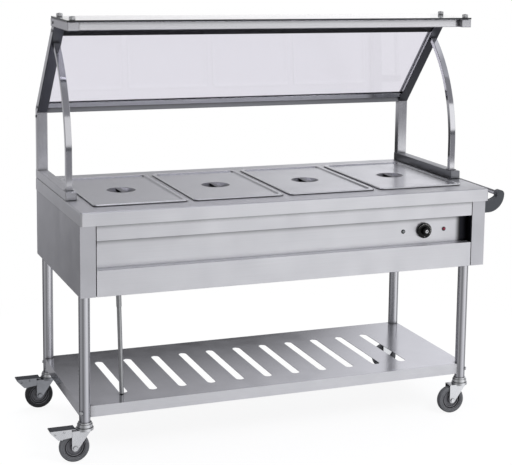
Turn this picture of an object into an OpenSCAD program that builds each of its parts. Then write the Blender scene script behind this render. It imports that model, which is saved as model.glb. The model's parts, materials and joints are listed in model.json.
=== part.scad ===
// Heated buffet trolley with four lift-out food pans, a glass guard and a glass top shelf

/* [Worktop] */
// Length of the worktop
top_w = 1500; // [1480:5:1600]
// Depth of the worktop, front to back
top_d = 710; // [700:5:760]
// Height of the worktop above the floor
top_h = 870; // [840:5:920]
// Height of the worktop's turned-down lip
lip_h = 45; // [35:1:60]
// Sheet thickness of the worktop
top_sheet = 1.5; // [1.2:0.1:2]
// Rounding of the worktop's upper edge
top_edge_r = 5; // [4:0.5:6]
// Rounding of the worktop's corners, seen from above
top_corner_r = 7; // [7:0.5:12]

/* [Cabinet] */
// Height of the cabinet below the worktop's lip
cabinet_h = 241; // [225:1:270]
// How far the cabinet's front stands behind the worktop's front edge
front_setback = 18; // [8:1:24]
// Width of the end posts beside the front strips
post_w = 52; // [40:1:56]
// Sheet thickness of the cabinet's panels
sheet = 1.2; // [1:0.1:1.5]
// Visible height of the upper front strip
upper_strip_h = 54; // [45:1:65]
// Height of the control recess
control_h = 99; // [90:1:105]
// Depth of the control recess
control_setback = 34; // [34:1:42]
// Open seam between the front strips and the end posts
seam = 3; // [2:0.5:5]
// Width of the folded edges
fold_w = 15; // [10:1:18]
// Clearance between sheets that stand side by side
sheet_gap = 0.5; // [0.3:0.1:1]

/* [Food pans and lids] */
// Outer width of a pan and its lid
pan_w = 325; // [320:1:330]
// Outer length of a pan and its lid
pan_d = 530; // [520:1:535]
// Distance between neighbouring pans, centre to centre
pan_pitch = 348; // [342:1:350]
// Depth of a pan below its rim
pan_depth = 150; // [100:5:155]
// Height of a pan's rim above the worktop
pan_rim_h = 2.5; // [2:0.5:6]
// Width of a pan's rim
pan_rim_w = 11.5; // [9:0.5:13]
// Rounding of a pan's upright corners
pan_corner_r = 18.5; // [17:0.5:22]
// Rounding of the outer corners of pans' and lids' rims
rim_corner_r = 14; // [10:1:26]
// Rounding between a pan's walls and floor
pan_floor_r = 15; // [10:1:16]
// Sheet thickness of pans and lids
pan_sheet = 0.9; // [0.8:0.1:1.2]
// Clearance around a pan in its cut-out
cut_gap = 2; // [1:0.5:3]
// Height of a lid's rim
lid_rim_h = 3.5; // [2.5:0.5:6]
// How far a lid's middle lies below its rim
lid_drop = 5; // [4.5:0.5:6]
// Clearance around a lid's middle inside its pan
lid_gap = 1; // [0.5:0.25:2]
// Radius of the grip's round dish
dish_r = 50; // [42:1:60]
// Depth of the grip's dish
dish_depth = 14; // [10:1:18]
// Width of the grip's strap
strap_w = 18; // [14:1:24]
// Thickness of the grip's strap
strap_t = 2; // [1.5:0.1:3]

/* [Water tank and heating] */
// Depth of the tank below the worktop
tank_depth = 188; // [180:1:200]
// Clearance between the tank's walls and the outer pans' cut-outs
tank_gap = 10; // [8:1:14]
// Radius of a heating element's tube
element_r = 4; // [3:0.25:5]
// Distance between the two runs of one heating element
element_gap = 80; // [60:1:90]
// Distance between the two heating elements
element_pitch = 140; // [130:1:160]
// Height of the elements above the tank's floor
element_lift = 18; // [12:1:26]

/* [Controls] */
// Height of the controls above the foot of the control recess
control_lift = 49; // [44:1:52]
// Distance from the worktop's right end to the knob
knob_inset = 234; // [215:1:310]
// Distance from the knob to each lamp
lamp_pitch = 82; // [60:1:90]
// Radius of the knob's skirt
knob_skirt_r = 28; // [22:0.5:32]
// Radius of the knob's grip
knob_grip_r = 14; // [12:0.5:22]
// Depth of the knob, front to back
knob_depth = 22; // [16:1:26]
// Radius of a lamp's bezel
lamp_r = 7.5; // [6:0.25:9]

/* [Legs and shelf] */
// Distance from the worktop's ends to the legs' axes
leg_inset = 35; // [30:1:50]
// Distance from the worktop's front edge to the front legs' axes
leg_front_inset = 107; // [93:1:120]
// Distance from the worktop's rear edge to the rear legs' axes
leg_rear_inset = 26; // [24:1:45]
// Radius of a leg's tube
leg_r = 19.05; // [17:0.05:22]
// Wall of a leg's tube
leg_wall = 1.5; // [1.2:0.1:2.5]
// Height of the shelf's upper face above the floor
shelf_h = 189; // [186:1:260]
// How far the shelf reaches beyond the legs' axes at each end
shelf_reach = 15; // [12:1:17]
// How far the shelf's front and rear edges reach beyond the legs' axes
shelf_front = 10; // [6:1:14]
// Height of the shelf's turned-down lip
shelf_lip = 39; // [30:1:42]
// Sheet thickness of the shelf
shelf_sheet = 1.5; // [1.2:0.1:2]
// Number of slots in the shelf
slot_count = 11; // [7:1:11]
// Distance between neighbouring slots
slot_pitch = 107.5; // [80:0.5:110]
// Sideways offset of the row of slots from the shelf's middle
slot_shift = -18; // [-30:1:30]
// Width of a slot
slot_w = 30; // [20:1:36]
// Length of a slot
slot_len = 372; // [300:1:420]
// How far the slots' middle stands behind the worktop's middle
slot_back = 26; // [15:1:45]

/* [Casters] */
// Radius of a wheel over its tyre
wheel_r = 51; // [48:0.5:52]
// Radius of a wheel's hub under the tyre
hub_r = 37; // [30:0.5:40]
// Width of a tyre
tyre_w = 28; // [22:1:30]
// How far a wheel's axle trails behind its swivel axis
trail = 37; // [30:1:40]
// Clearance between a tyre and the fork's cheeks
wheel_gap = 3; // [2:0.25:4]
// Height of the legs' lower ends above the floor
leg_foot = 134; // [132:1:138]
// Radius of the swivel head
swivel_r = 29; // [26:0.5:32]
// Travel of a brake pedal's tip below level, used for the pad's gap
pad_gap = 3.8; // [3.7:0.1:5]
// How far a brake pedal reaches from the swivel axis
pedal_reach = 122; // [112:1:130]

/* [Push handle] */
// How far the push tube's axis stands out from the cabinet's side
handle_reach = 107; // [95:1:120]
// Height of the push tube's axis above the cabinet's floor
handle_lift = 243; // [238:1:252]
// Distance between the two brackets
handle_span = 500; // [400:5:540]
// Radius of the push tube
push_r = 9; // [8:0.5:11]
// Thickness of a bracket along the push tube
bracket_t = 28; // [22:1:34]

/* [Glass guard] */
// Width of the guard's tubes
tube_w = 38; // [30:1:40]
// Depth of the guard's tubes
tube_d = 30; // [25:1:32]
// Wall of the guard's tubes
tube_wall = 1.5; // [1.2:0.1:2]
// How far the guard's tubes stand in from the worktop's ends
guard_inset = 1; // [0:0.5:4]
// How far the base rails start behind the worktop's front edge
base_front = 218; // [200:1:240]
// How far the base rails end before the worktop's rear edge
base_rear = 4; // [2:0.5:15]
// Height of the guard's bend above the worktop
bend_lift = 248; // [230:1:280]
// Lean of the upper tubes from upright, in degrees
lean = 42; // [38:1:45]
// Height of the top arms' underside above the worktop
arm_lift = 573; // [540:1:600]
// Height of the top arms and the front rail
arm_h = 28; // [22:1:32]
// Distance of the top arms' front end from the worktop's front edge
arm_front = 170; // [155:1:185]
// Width of a bow's strip
bow_w = 22; // [18:0.5:26]
// Thickness of a bow's strip
bow_t = 18; // [12:0.5:20]
// How far a bow's foot stands behind its base rail's front end
bow_back = 37; // [30:1:50]
// Straight height of a bow above its base rail
bow_straight = 100; // [60:1:130]
// Radius of a bow's curve
bow_r = 500; // [460:5:540]
// Thickness of the glass sheets
glass_t = 6; // [5:0.5:8]
// How far the top glass starts behind the arms' front end
glass_front = 1; // [0:1:20]
// Depth of the top glass
glass_d = 246; // [220:1:255]

/* [Hidden] */
$fn = 64;

steel = "#b9bac0";
steel_dark = "#8b8c93";
steel_light = "#cfd0d5";
zinc = "#c9cbce";
rubber_grey = "#5b5d60";
hub_grey = "#77777c";
plastic_grey = "#6c7173";
black = "#17171a";
glass_tint = "#dfe2ea";

// overrun of a cut past the face it opens
over = 1;
// clearance of a turning fit
fit = 0.05;
// clearance of a bolt in its hole
bolt_gap = 0.1;

// axes of the legs and the knob
leg_x = top_w / 2 - leg_inset;
leg_front = top_d / 2 - leg_front_inset;
leg_rear = top_d / 2 - leg_rear_inset;
knob_x = top_w / 2 - knob_inset;

// cabinet: outer faces and levels
side_x = top_w / 2 - top_sheet - sheet_gap;
front_y = -top_d / 2 + front_setback;
rear_y = top_d / 2 - top_sheet - sheet_gap;
under_z = top_h - top_sheet;
// the panels behind the worktop's lip end below its rounded edge and follow its corners
panel_top = top_h - top_edge_r;
panel_bend_r = top_corner_r - top_sheet - sheet_gap;
floor_z = top_h - lip_h - cabinet_h;
strip_z = top_h - lip_h - upper_strip_h;
recess_z = strip_z - control_h;
strip_x = side_x - post_w - seam;
panel_y = front_y + control_setback;
floor_top = floor_z + 2 * sheet;
// how far the floor panel rests on the front strip's flange
floor_lap = 6;

// pans: places and cut-outs
pan_count = 4;
pan_body_w = pan_w - 2 * pan_rim_w;
pan_body_d = pan_d - 2 * pan_rim_w;
cut_w = pan_body_w + 2 * cut_gap;
cut_d = pan_body_d + 2 * cut_gap;
cut_r = pan_corner_r + cut_gap;
function pan_x(i) = (i - (pan_count - 1) / 2) * pan_pitch;
lid_well_w = pan_body_w - 2 * pan_sheet - 2 * lid_gap;
lid_well_d = pan_body_d - 2 * pan_sheet - 2 * lid_gap;
lid_corner_r = pan_corner_r - pan_sheet - lid_gap;
lid_floor_r = 3;

// tank and what is fixed to it
tank_w = (pan_count - 1) * pan_pitch + cut_w + 2 * tank_gap;
tank_d = cut_d + 2 * tank_gap;
tank_r = cut_r + tank_gap;
tank_z = under_z - tank_depth;
element_z = tank_z + sheet + element_lift;
element_bend_gap = 60;
element_end = tank_w / 2 - element_bend_gap;
flange_t = 3;
flange_h = 30;
stud_r = 2;
stud_len = 14;
box_t = 1;
box_w = 44;
box_h = 56;
box_margin = 12;

// controls
control_z = recess_z + control_lift;
spindle_r = 3;
bush_r = 5;
bush_len = 5;
thermostat_w = 42;
thermostat_h = 36;
thermostat_t = 26;
bulb_r = 3;
bulb_len = 90;
bulb_pitch = 230;
bulb_x = knob_x - bulb_pitch;
capillary_r = 1;
knob_gap = 1;
skirt_t = 4;
lamp_bezel_t = 2;
lamp_dome_r = 5;
lamp_body_r = 5.5;
lamp_body_len = 22;

// drain
drain_inset = 109;
drain_front_inset = 105.5;
drain_lean_in = 9;
drain_lean_out = 10;
drain_x = -tank_w / 2 + drain_inset;
drain_y = -tank_d / 2 + drain_front_inset;
drain_tip_x = drain_x + drain_lean_in;
drain_tip_y = drain_y - drain_lean_out;
drain_tip_gap = 2.5;
drain_pipe_r = 9;
drain_low_r = 7.8;
drain_wall = 1.2;
drain_ball_r = 15;
drain_ball_lift = 20;
drain_ball_z = floor_top + drain_ball_lift;
drain_out_r = 12;
drain_out_len = 36;
drain_sleeve = 28;
drain_cuff = 100;
drain_flange_r = 20;
drain_nut_r = 17;
drain_nut_h = 12;
drain_stub_r = 12;
drain_play = 2;

// cable gland in the right side panel
gland_rear_inset = 153;
gland_lift = 45;
gland_y = rear_y - gland_rear_inset;
gland_z = floor_z + gland_lift;
gland_r = 9;
gland_nut_r = 14;
gland_nut_t = 8;
gland_len = 20;
gland_tail = 4;
gland_bore_r = 5;

// legs and shelf
leg_plate_w = 56;
leg_plate_t = 4;
// how far a plate's middle stands towards the cabinet's middle from the leg's axis
leg_plate_shift = 8;
notch_gap = 0.5;
notch_r = leg_r + notch_gap;
shelf_x = leg_x + shelf_reach;
shelf_y0 = -leg_front - shelf_front;
shelf_y1 = leg_rear + shelf_front;
shelf_bolt_r = 4;
shelf_bolt_drop = 20;
shelf_bolt_z = shelf_h - shelf_bolt_drop;
bolt_head_r = 6.5;
bolt_head_t = 5;

// casters
axle_r = 4;
axle_z = wheel_r;
fork_gap = tyre_w + 2 * wheel_gap;
cheek_t = 2.5;
cheek_y = fork_gap / 2 + cheek_t;
boss_r = 11;
head_flange_t = 6;
head_flange_w = 4;
head_flange_r = leg_r + head_flange_w;
race_t = 11;
race_step = 3;
race_r = swivel_r - race_step;
cup_gap = 0.4;
race_lift = 7;
fork_top = leg_foot - head_flange_t - race_t - race_lift;
fork_plate_t = 3;
cup_h = 6;
cup_wall = 2.6;
fork_front = 18;
kingpin_r = 6;
collar_r = 10;
collar_t = 3;
collar_gap = 1;
stem_play = 3;
stem_len = shelf_bolt_z - shelf_bolt_r - leg_foot - stem_play;
stem_gap = 0.2;
hub_boss_r = 12;
hub_boss_gap = 0.5;
hub_web_t = 6;
hub_rim_w = 22;
hub_ring_r = 30;
hub_ring_w = 3;
tyre_round = 6;
axle_head_r = 7.5;
axle_head_t = 5;

// brake pedals
ear_reach = 30;
ear_h = 14;
pivot_out = 24;
pivot_drop = 6;
pivot_x = -trail - pivot_out;
pivot_z = fork_top - pivot_drop;
pedal_gap = 0.4;
pedal_t = 1.5;
pedal_lift = 9;
pedal_top = fork_top + pedal_lift;
pedal_y = cheek_y + pedal_gap + pedal_t;
pedal_pin_r = 2.5;
pedal_in = 36;
pedal_side_gap = 1;
pedal_side_in = trail + boss_r + pedal_side_gap;
pedal_side_low = 19;
pedal_side_foot = 94;
pedal_tip_drop = 6;
pad_len = 14;
pad_t = 8;
pad_angle = 137;

// push handle
push_x = side_x + handle_reach;
push_z = floor_z + handle_lift;
bracket_out_r = 66;
bracket_in_r = 56;
bracket_base_h = 44;
bracket_tip_r = 15;
bracket_back = 51;
bracket_stud_len = 12;
bracket_nut_r = 7;
bracket_nut_t = 6;
push_sink = 16;
bracket_stud_z = push_z - bracket_out_r + bracket_base_h / 2;

// glass guard
guard_x = top_w / 2 - guard_inset - tube_w / 2;
guard_in = guard_x - tube_w / 2;
base_y0 = -top_d / 2 + base_front;
base_y1 = top_d / 2 - base_rear;
base_top = top_h + tube_d;
post_step = 2;
post_y = base_y1 - post_step - tube_d / 2;
bend_z = top_h + bend_lift;
arm_z = top_h + arm_lift;
arm_y0 = -top_d / 2 + arm_front;
arm_meet_y = post_y - (arm_z - bend_z) * tan(lean);
arm_over = 10;
arm_y1 = arm_meet_y + tube_d / 2 / cos(lean) + arm_over;
bow_y = base_y0 + bow_back;
bow_z = base_top + bow_straight;
bow_foot_t = 3;
bow_foot_margin = 4;
cross_h = 23;
cross_d = 26;
cross_drop = 8;
cross_z = bend_z - cross_drop;
channel_t = 14;
channel_len = 24;
channel_wall = 2;
channel_low = 20;
channel_gap = 16;
channel_high = (arm_z - bend_z) / cos(lean) - channel_len - channel_gap;
glass_bite = 12;
rail_d = 20;
rail_back = 25;
pad_t2 = 1;
clamp_r = 11;
clamp_h = 12;
clamp_stud_r = 4;
clamp_hole_r = 5;
clamp_front = 14;
clamp_rear = 205;
guard_bolt_r = 5;
guard_bolt_t = 3.5;

// left end of the whole is a pedal's tip, right end is a handle bracket
left_end = -leg_x - pedal_reach;
right_end = push_x + bracket_tip_r;
mid_x = (left_end + right_end) / 2;
// front end is the worktop's edge, rear end is the worktop's edge or a caster's swivel
rear_end = max(top_d / 2, leg_rear + swivel_r);
mid_y = (rear_end - top_d / 2) / 2;

module placed() {
    translate([-mid_x, -mid_y, 0]) children();
}

module round_rect(w, d, r) {
    square([w - 2 * r, d], center = true);
    square([w, d - 2 * r], center = true);
    for (sx = [-1, 1], sy = [-1, 1])
        translate([sx * (w / 2 - r), sy * (d / 2 - r)]) circle(r);
}

// carries an edge profile round a rectangle with rounded corners
module ring_sweep(w, d, r) {
    for (i = [0:3]) {
        out = (i % 2 == 0 ? w : d) / 2 - r;
        run = (i % 2 == 0 ? d : w) - 2 * r;
        rotate(90 * i) translate([out, run / 2, 0]) {
            rotate([90, 0, 0]) linear_extrude(run) children();
            rotate_extrude(angle = 90) children();
        }
    }
}

module quarter_ring(r, t) {
    intersection() {
        difference() {
            circle(r);
            circle(r - t);
        }
        square(r);
    }
}

module slab(x0, x1, y0, y1, z0, z1) {
    translate([x0, y0, z0]) cube([x1 - x0, y1 - y0, z1 - z0]);
}

// round bar from point a to point b
module rod(a, b, r) {
    d = b - a;
    len = norm(d);
    translate(a) rotate([0, acos(d[2] / len), atan2(d[1], d[0])]) cylinder(h = len, r = r);
}

module both_ends() {
    children();
    mirror([1, 0, 0]) children();
}

// cylinder that points to the front from y0 to y1
module to_front(x, z, r, y0, y1) {
    translate([x, y1, z]) rotate([90, 0, 0]) cylinder(h = y1 - y0, r = r);
}

module worktop_edge() {
    translate([0, -top_sheet]) square([top_corner_r - top_edge_r, top_sheet]);
    translate([top_corner_r - top_edge_r, -top_edge_r]) quarter_ring(top_edge_r, top_sheet);
    translate([top_corner_r - top_sheet, -lip_h]) square([top_sheet, lip_h - top_edge_r]);
}

module worktop() {
    color(steel_light) placed() difference() {
        union() {
            translate([0, 0, top_h]) ring_sweep(top_w, top_d, top_corner_r) worktop_edge();
            translate([0, 0, top_h - top_sheet]) linear_extrude(top_sheet)
                square([top_w - 2 * top_corner_r, top_d - 2 * top_corner_r], center = true);
        }
        for (i = [0:pan_count - 1])
            translate([pan_x(i), 0, top_h - top_sheet - over])
                linear_extrude(top_sheet + 2 * over) round_rect(cut_w, cut_d, cut_r);
    }
}

// side panel of the left end: side, front post, returns and floor flange
module side_panel() {
    slab(-side_x, -side_x + sheet, front_y, rear_y - panel_bend_r, floor_z, panel_top);
    slab(-side_x, -side_x + post_w, front_y, front_y + sheet, floor_z, panel_top);
    slab(-side_x + post_w - sheet, -side_x + post_w, front_y, front_y + fold_w, floor_z, panel_top);
    slab(-side_x + panel_bend_r, -side_x + fold_w, rear_y - sheet, rear_y, floor_z, panel_top);
    translate([-side_x + panel_bend_r, rear_y - panel_bend_r, floor_z])
        linear_extrude(panel_top - floor_z) rotate(90) quarter_ring(panel_bend_r, sheet);
    difference() {
        slab(-side_x, -side_x + fold_w + sheet, front_y, rear_y - panel_bend_r, floor_z, floor_z + sheet);
        leg_holes();
    }
}

module left_side_panel() {
    color(steel) placed() side_panel();
}

module right_side_panel() {
    color(steel) placed() mirror([1, 0, 0]) difference() {
        side_panel();
        for (s = [-1, 1])
            translate([-side_x - over, s * handle_span / 2, bracket_stud_z])
                rotate([0, 90, 0]) cylinder(h = sheet + 2 * over, r = shelf_bolt_r + bolt_gap);
        translate([-side_x - over, gland_y, gland_z])
            rotate([0, 90, 0]) cylinder(h = sheet + 2 * over, r = gland_r + bolt_gap);
    }
}

module upper_front_strip() {
    color(steel) placed() {
        slab(-strip_x, strip_x, front_y, front_y + sheet, strip_z, under_z);
        slab(-strip_x, strip_x, front_y, panel_y + sheet, strip_z, strip_z + sheet);
    }
}

module lower_front_strip() {
    color(steel) placed() {
        slab(-strip_x, strip_x, front_y, front_y + sheet, floor_z, recess_z);
        slab(-strip_x, strip_x, front_y, panel_y + sheet, recess_z - sheet, recess_z);
        slab(-strip_x, strip_x, front_y, front_y + fold_w + floor_lap, floor_z, floor_z + sheet);
    }
}

module control_panel() {
    color(steel) placed() difference() {
        union() {
            slab(-strip_x, strip_x, panel_y, panel_y + sheet, recess_z, strip_z);
            both_ends() slab(strip_x - sheet, strip_x, front_y + sheet, panel_y, recess_z, strip_z);
        }
        to_front(knob_x, control_z, bush_r + bolt_gap, panel_y - over, panel_y + sheet + over);
        for (s = [-1, 1])
            to_front(knob_x + s * lamp_pitch, control_z, lamp_body_r + bolt_gap,
                panel_y - over, panel_y + sheet + over);
    }
}

module rear_panel() {
    color(steel_dark) placed() slab(-side_x + panel_bend_r, side_x - panel_bend_r,
        rear_y - 2 * sheet, rear_y - sheet, floor_z + sheet, panel_top);
}

module floor_panel() {
    color(steel_dark) placed() difference() {
        slab(-side_x + sheet + sheet_gap, side_x - sheet - sheet_gap,
            front_y + fold_w + sheet_gap, rear_y - 2 * sheet - sheet_gap, floor_z + sheet, floor_top);
        leg_holes();
        translate([drain_x, drain_y, floor_z]) cylinder(h = 2 * fold_w, r = drain_out_r + drain_play);
    }
}

// what the legs and their clearance take out of the cabinet's floor
module leg_holes() {
    at_legs() translate([0, 0, floor_z - over]) cylinder(h = 2 * fold_w, r = notch_r);
}

module at_legs() {
    for (sx = [-1, 1], y = [-leg_front, leg_rear])
        translate([sx * leg_x, y, 0]) children();
}

module water_tank() {
    color(steel_dark) placed() difference() {
        translate([0, 0, tank_z]) linear_extrude(tank_depth) round_rect(tank_w, tank_d, tank_r);
        translate([0, 0, tank_z + sheet]) linear_extrude(tank_depth)
            round_rect(tank_w - 2 * sheet, tank_d - 2 * sheet, tank_r - sheet);
        translate([drain_x, drain_y, tank_z - over])
            cylinder(h = sheet + 2 * over, r = drain_stub_r + bolt_gap);
        at_elements() for (s = [-1, 1])
            translate([tank_w / 2 - sheet - over, s * element_gap / 2, element_z])
                rotate([0, 90, 0]) cylinder(h = sheet + 2 * over, r = element_r + bolt_gap);
    }
}

module at_elements() {
    for (s = [-1, 1]) translate([0, s * element_pitch / 2, 0]) children();
}

module heating_elements() {
    color("#6e6f73") placed() at_elements() {
        for (s = [-1, 1]) {
            translate([-element_end, s * element_gap / 2, element_z]) rotate([0, 90, 0])
                cylinder(h = element_end + tank_w / 2 + flange_t, r = element_r);
            translate([tank_w / 2 + flange_t, s * element_gap / 2, element_z])
                rotate([0, 90, 0]) cylinder(h = stud_len, r = stud_r);
        }
        translate([-element_end, 0, element_z]) rotate(90)
            rotate_extrude(angle = 180) translate([element_gap / 2, 0]) circle(element_r);
        translate([tank_w / 2, -element_gap / 2 - flange_h / 2, element_z - flange_h / 2])
            cube([flange_t, element_gap + flange_h, flange_h]);
    }
}

module terminal_box() {
    len = element_pitch + element_gap + flange_h + 2 * box_margin;
    color(steel_dark) placed() difference() {
        translate([tank_w / 2, -len / 2, element_z - box_h / 2]) cube([box_w, len, box_h]);
        translate([tank_w / 2 - over, -len / 2 + box_t, element_z - box_h / 2 + box_t])
            cube([box_w - box_t + over, len - 2 * box_t, box_h - 2 * box_t]);
    }
}

module thermostat() {
    back = panel_y + sheet;
    bulb_y = -tank_d / 2 - bulb_r;
    color("#3a3b3f") placed() difference() {
        union() {
            translate([knob_x - thermostat_w / 2, back, control_z - thermostat_h / 2])
                cube([thermostat_w, thermostat_t, thermostat_h]);
            to_front(knob_x, control_z, bush_r, panel_y - bush_len, back);
            rod([knob_x - thermostat_w / 2 + over, back + thermostat_t / 2, control_z],
                [bulb_x + bulb_len, bulb_y, element_z], capillary_r);
            translate([bulb_x, bulb_y, element_z]) rotate([0, 90, 0]) cylinder(h = bulb_len, r = bulb_r);
        }
        to_front(knob_x, control_z, spindle_r + fit, panel_y - bush_len - over, back + thermostat_t / 2);
    }
}

// lamp with a bezel on the panel, a domed lens and a body behind
module lamp(x) {
    translate([x, panel_y, control_z]) rotate([90, 0, 0]) {
        rotate_extrude() {
            square([lamp_r, lamp_bezel_t]);
            translate([0, lamp_bezel_t]) intersection() {
                circle(lamp_dome_r);
                square(lamp_dome_r);
            }
        }
        translate([0, 0, -lamp_body_len]) cylinder(h = lamp_body_len, r = lamp_body_r);
    }
}

module grey_lamp() {
    color("#8f9496") placed() lamp(knob_x - lamp_pitch);
}

module red_lamp() {
    color("#a8203c") placed() lamp(knob_x + lamp_pitch);
}

module control_knob() {
    y0 = panel_y - bush_len - knob_gap;
    color(black) placed() {
        to_front(knob_x, control_z, knob_skirt_r, y0 - skirt_t, y0);
        to_front(knob_x, control_z, knob_grip_r, y0 - knob_depth, y0);
        to_front(knob_x, control_z, spindle_r, y0 - skirt_t, panel_y + sheet + thermostat_t / 3);
    }
}

module cable_gland() {
    inner = side_x - sheet - gland_nut_t;
    len = gland_tail + 2 * gland_nut_t + sheet + gland_len;
    color(black) placed() translate([inner - gland_tail, gland_y, gland_z]) rotate([0, 90, 0]) difference() {
        union() {
            cylinder(h = len, r = gland_r);
            translate([0, 0, gland_tail]) cylinder(h = gland_nut_t, r = gland_nut_r, $fn = 6);
            translate([0, 0, gland_tail + gland_nut_t + sheet])
                cylinder(h = gland_nut_t, r = gland_nut_r, $fn = 6);
        }
        translate([0, 0, -over]) cylinder(h = len + 2 * over, r = gland_bore_r);
    }
}

drain_from = [drain_x, drain_y, drain_ball_z];
drain_to = [drain_tip_x, drain_tip_y, shelf_h + drain_tip_gap];
drain_dir = (drain_to - drain_from) / norm(drain_to - drain_from);

module drain_fitting() {
    color(zinc) placed() difference() {
        union() {
            translate([drain_x, drain_y, tank_z + sheet]) cylinder(h = flange_t, r = drain_flange_r);
            translate([drain_x, drain_y, tank_z - drain_nut_h])
                cylinder(h = drain_nut_h, r = drain_nut_r, $fn = 6);
            translate([drain_x, drain_y, drain_ball_z])
                cylinder(h = tank_z + sheet + flange_t - drain_ball_z, r = drain_stub_r);
            translate(drain_from) sphere(drain_ball_r);
            rod(drain_from, drain_from + drain_out_len * drain_dir, drain_out_r);
        }
        translate([drain_x, drain_y, drain_ball_z - drain_ball_r])
            cylinder(h = tank_z - drain_ball_z + 3 * drain_ball_r, r = drain_pipe_r - drain_wall);
        rod(drain_from + (drain_out_len - drain_sleeve) * drain_dir,
            drain_from + (drain_out_len + over) * drain_dir, drain_pipe_r + fit);
    }
}

module drain_pipe() {
    start = drain_from + (drain_out_len - drain_sleeve + sheet_gap) * drain_dir;
    color(zinc) placed() difference() {
        union() {
            rod(start, start + drain_cuff * drain_dir, drain_pipe_r);
            rod(start, drain_to, drain_low_r);
        }
        rod(start - over * drain_dir, drain_to + over * drain_dir, drain_low_r - drain_wall);
    }
}

function leg_y(sy) = sy < 0 ? -leg_front : leg_rear;

// outward direction from the shelf's middle at a leg, along the bolt
function leg_turn(sx, sy) = atan2(sy, sx);

module leg(sx, sy) {
    translate([sx * leg_x, leg_y(sy), 0]) difference() {
        translate([0, 0, leg_foot]) cylinder(h = floor_top - leg_foot, r = leg_r);
        cylinder(h = top_h, r = leg_r - leg_wall);
        translate([0, 0, shelf_bolt_z]) rotate([0, 90, leg_turn(sx, sy)])
            cylinder(h = 4 * leg_r, r = shelf_bolt_r + bolt_gap, center = true);
    }
}

module front_legs() {
    color(steel) placed() for (sx = [-1, 1]) leg(sx, -1);
}

module rear_legs() {
    color(steel) placed() for (sx = [-1, 1]) leg(sx, 1);
}

module leg_plates() {
    color(steel_dark) placed() for (sx = [-1, 1], sy = [-1, 1])
        translate([sx * leg_x, leg_y(sy) - sy * leg_plate_shift, floor_top + leg_plate_t / 2])
            cube([leg_plate_w, leg_plate_w, leg_plate_t], center = true);
}

// outline of the shelf, inset by t, with a hollow round each leg
module shelf_outline(t) {
    difference() {
        translate([-shelf_x + t, shelf_y0 + t])
            square([2 * (shelf_x - t), shelf_y1 - shelf_y0 - 2 * t]);
        for (sx = [-1, 1], y = [-leg_front, leg_rear])
            translate([sx * leg_x, y]) circle(notch_r + t);
    }
}

module slot_outline() {
    translate([-slot_w / 2, -slot_len / 2 + slot_w / 2]) square([slot_w, slot_len - slot_w]);
    for (s = [-1, 1]) translate([0, s * (slot_len - slot_w) / 2]) circle(slot_w / 2);
}

module lower_shelf() {
    color(steel_dark) placed() difference() {
        translate([0, 0, shelf_h - shelf_lip]) linear_extrude(shelf_lip) shelf_outline(0);
        translate([0, 0, shelf_h - shelf_lip - over]) linear_extrude(shelf_lip + over - shelf_sheet)
            shelf_outline(shelf_sheet);
        for (i = [0:slot_count - 1])
            translate([slot_shift + (i - (slot_count - 1) / 2) * slot_pitch, slot_back,
                shelf_h - shelf_sheet - over])
                linear_extrude(shelf_sheet + 2 * over) slot_outline();
        for (sx = [-1, 1], sy = [-1, 1])
            translate([sx * leg_x, leg_y(sy), shelf_bolt_z])
                rotate([0, 90, leg_turn(sx, sy) + 180])
                    cylinder(h = notch_r + 2 * shelf_sheet, r = shelf_bolt_r + bolt_gap);
    }
}

module shelf_bolts() {
    inner = notch_r + shelf_sheet;
    color(zinc) placed() for (sx = [-1, 1], sy = [-1, 1])
        translate([sx * leg_x, leg_y(sy), shelf_bolt_z])
            rotate([0, 90, leg_turn(sx, sy)]) {
                translate([0, 0, -inner - bolt_head_t])
                    cylinder(h = inner + 2 * bolt_head_t + leg_r, r = shelf_bolt_r);
                translate([0, 0, leg_r]) cylinder(h = bolt_head_t, r = bolt_head_r, $fn = 6);
                translate([0, 0, -inner - bolt_head_t]) cylinder(h = bolt_head_t, r = bolt_head_r, $fn = 6);
            }
}

module caster_head() {
    race_z = leg_foot - head_flange_t - race_t;
    translate([0, 0, leg_foot]) cylinder(h = stem_len, r = leg_r - leg_wall - stem_gap);
    translate([0, 0, leg_foot - head_flange_t]) cylinder(h = head_flange_t, r = head_flange_r);
    translate([0, 0, race_z]) cylinder(h = race_t, r = race_r);
    translate([0, 0, fork_top + cup_gap]) cylinder(h = race_z - fork_top, r = race_r - cup_wall);
    translate([0, 0, fork_top - fork_plate_t - collar_gap - collar_t])
        cylinder(h = race_z - fork_top + fork_plate_t + collar_t + collar_gap, r = kingpin_r);
    translate([0, 0, fork_top - fork_plate_t - collar_gap - collar_t])
        cylinder(h = collar_t, r = collar_r);
}

module caster_heads() {
    color(zinc) placed() at_legs() caster_head();
}

// point where a line from p touches the circle of radius r at c, on its left side
function touch(p, c, r) =
    let (d = p - c, l = norm(d), a = acos(r / l), b = atan2(d[1], d[0]) - a)
    c + r * [cos(b), sin(b)];

module cheek_outline(braked) {
    axle = [-trail, axle_z];
    front = [fork_front, fork_top];
    low = touch(front, axle, boss_r);
    difference() {
        union() {
            polygon([[-trail - boss_r, fork_top], front, low, axle, [-trail - boss_r, axle_z]]);
            translate(axle) circle(boss_r);
            if (braked)
                translate([-trail - ear_reach, fork_top - ear_h])
                    square([ear_reach, ear_h]);
        }
        translate(axle) circle(axle_r + fit);
        if (braked) translate([pivot_x, pivot_z]) circle(pedal_pin_r + fit);
    }
}

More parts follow.
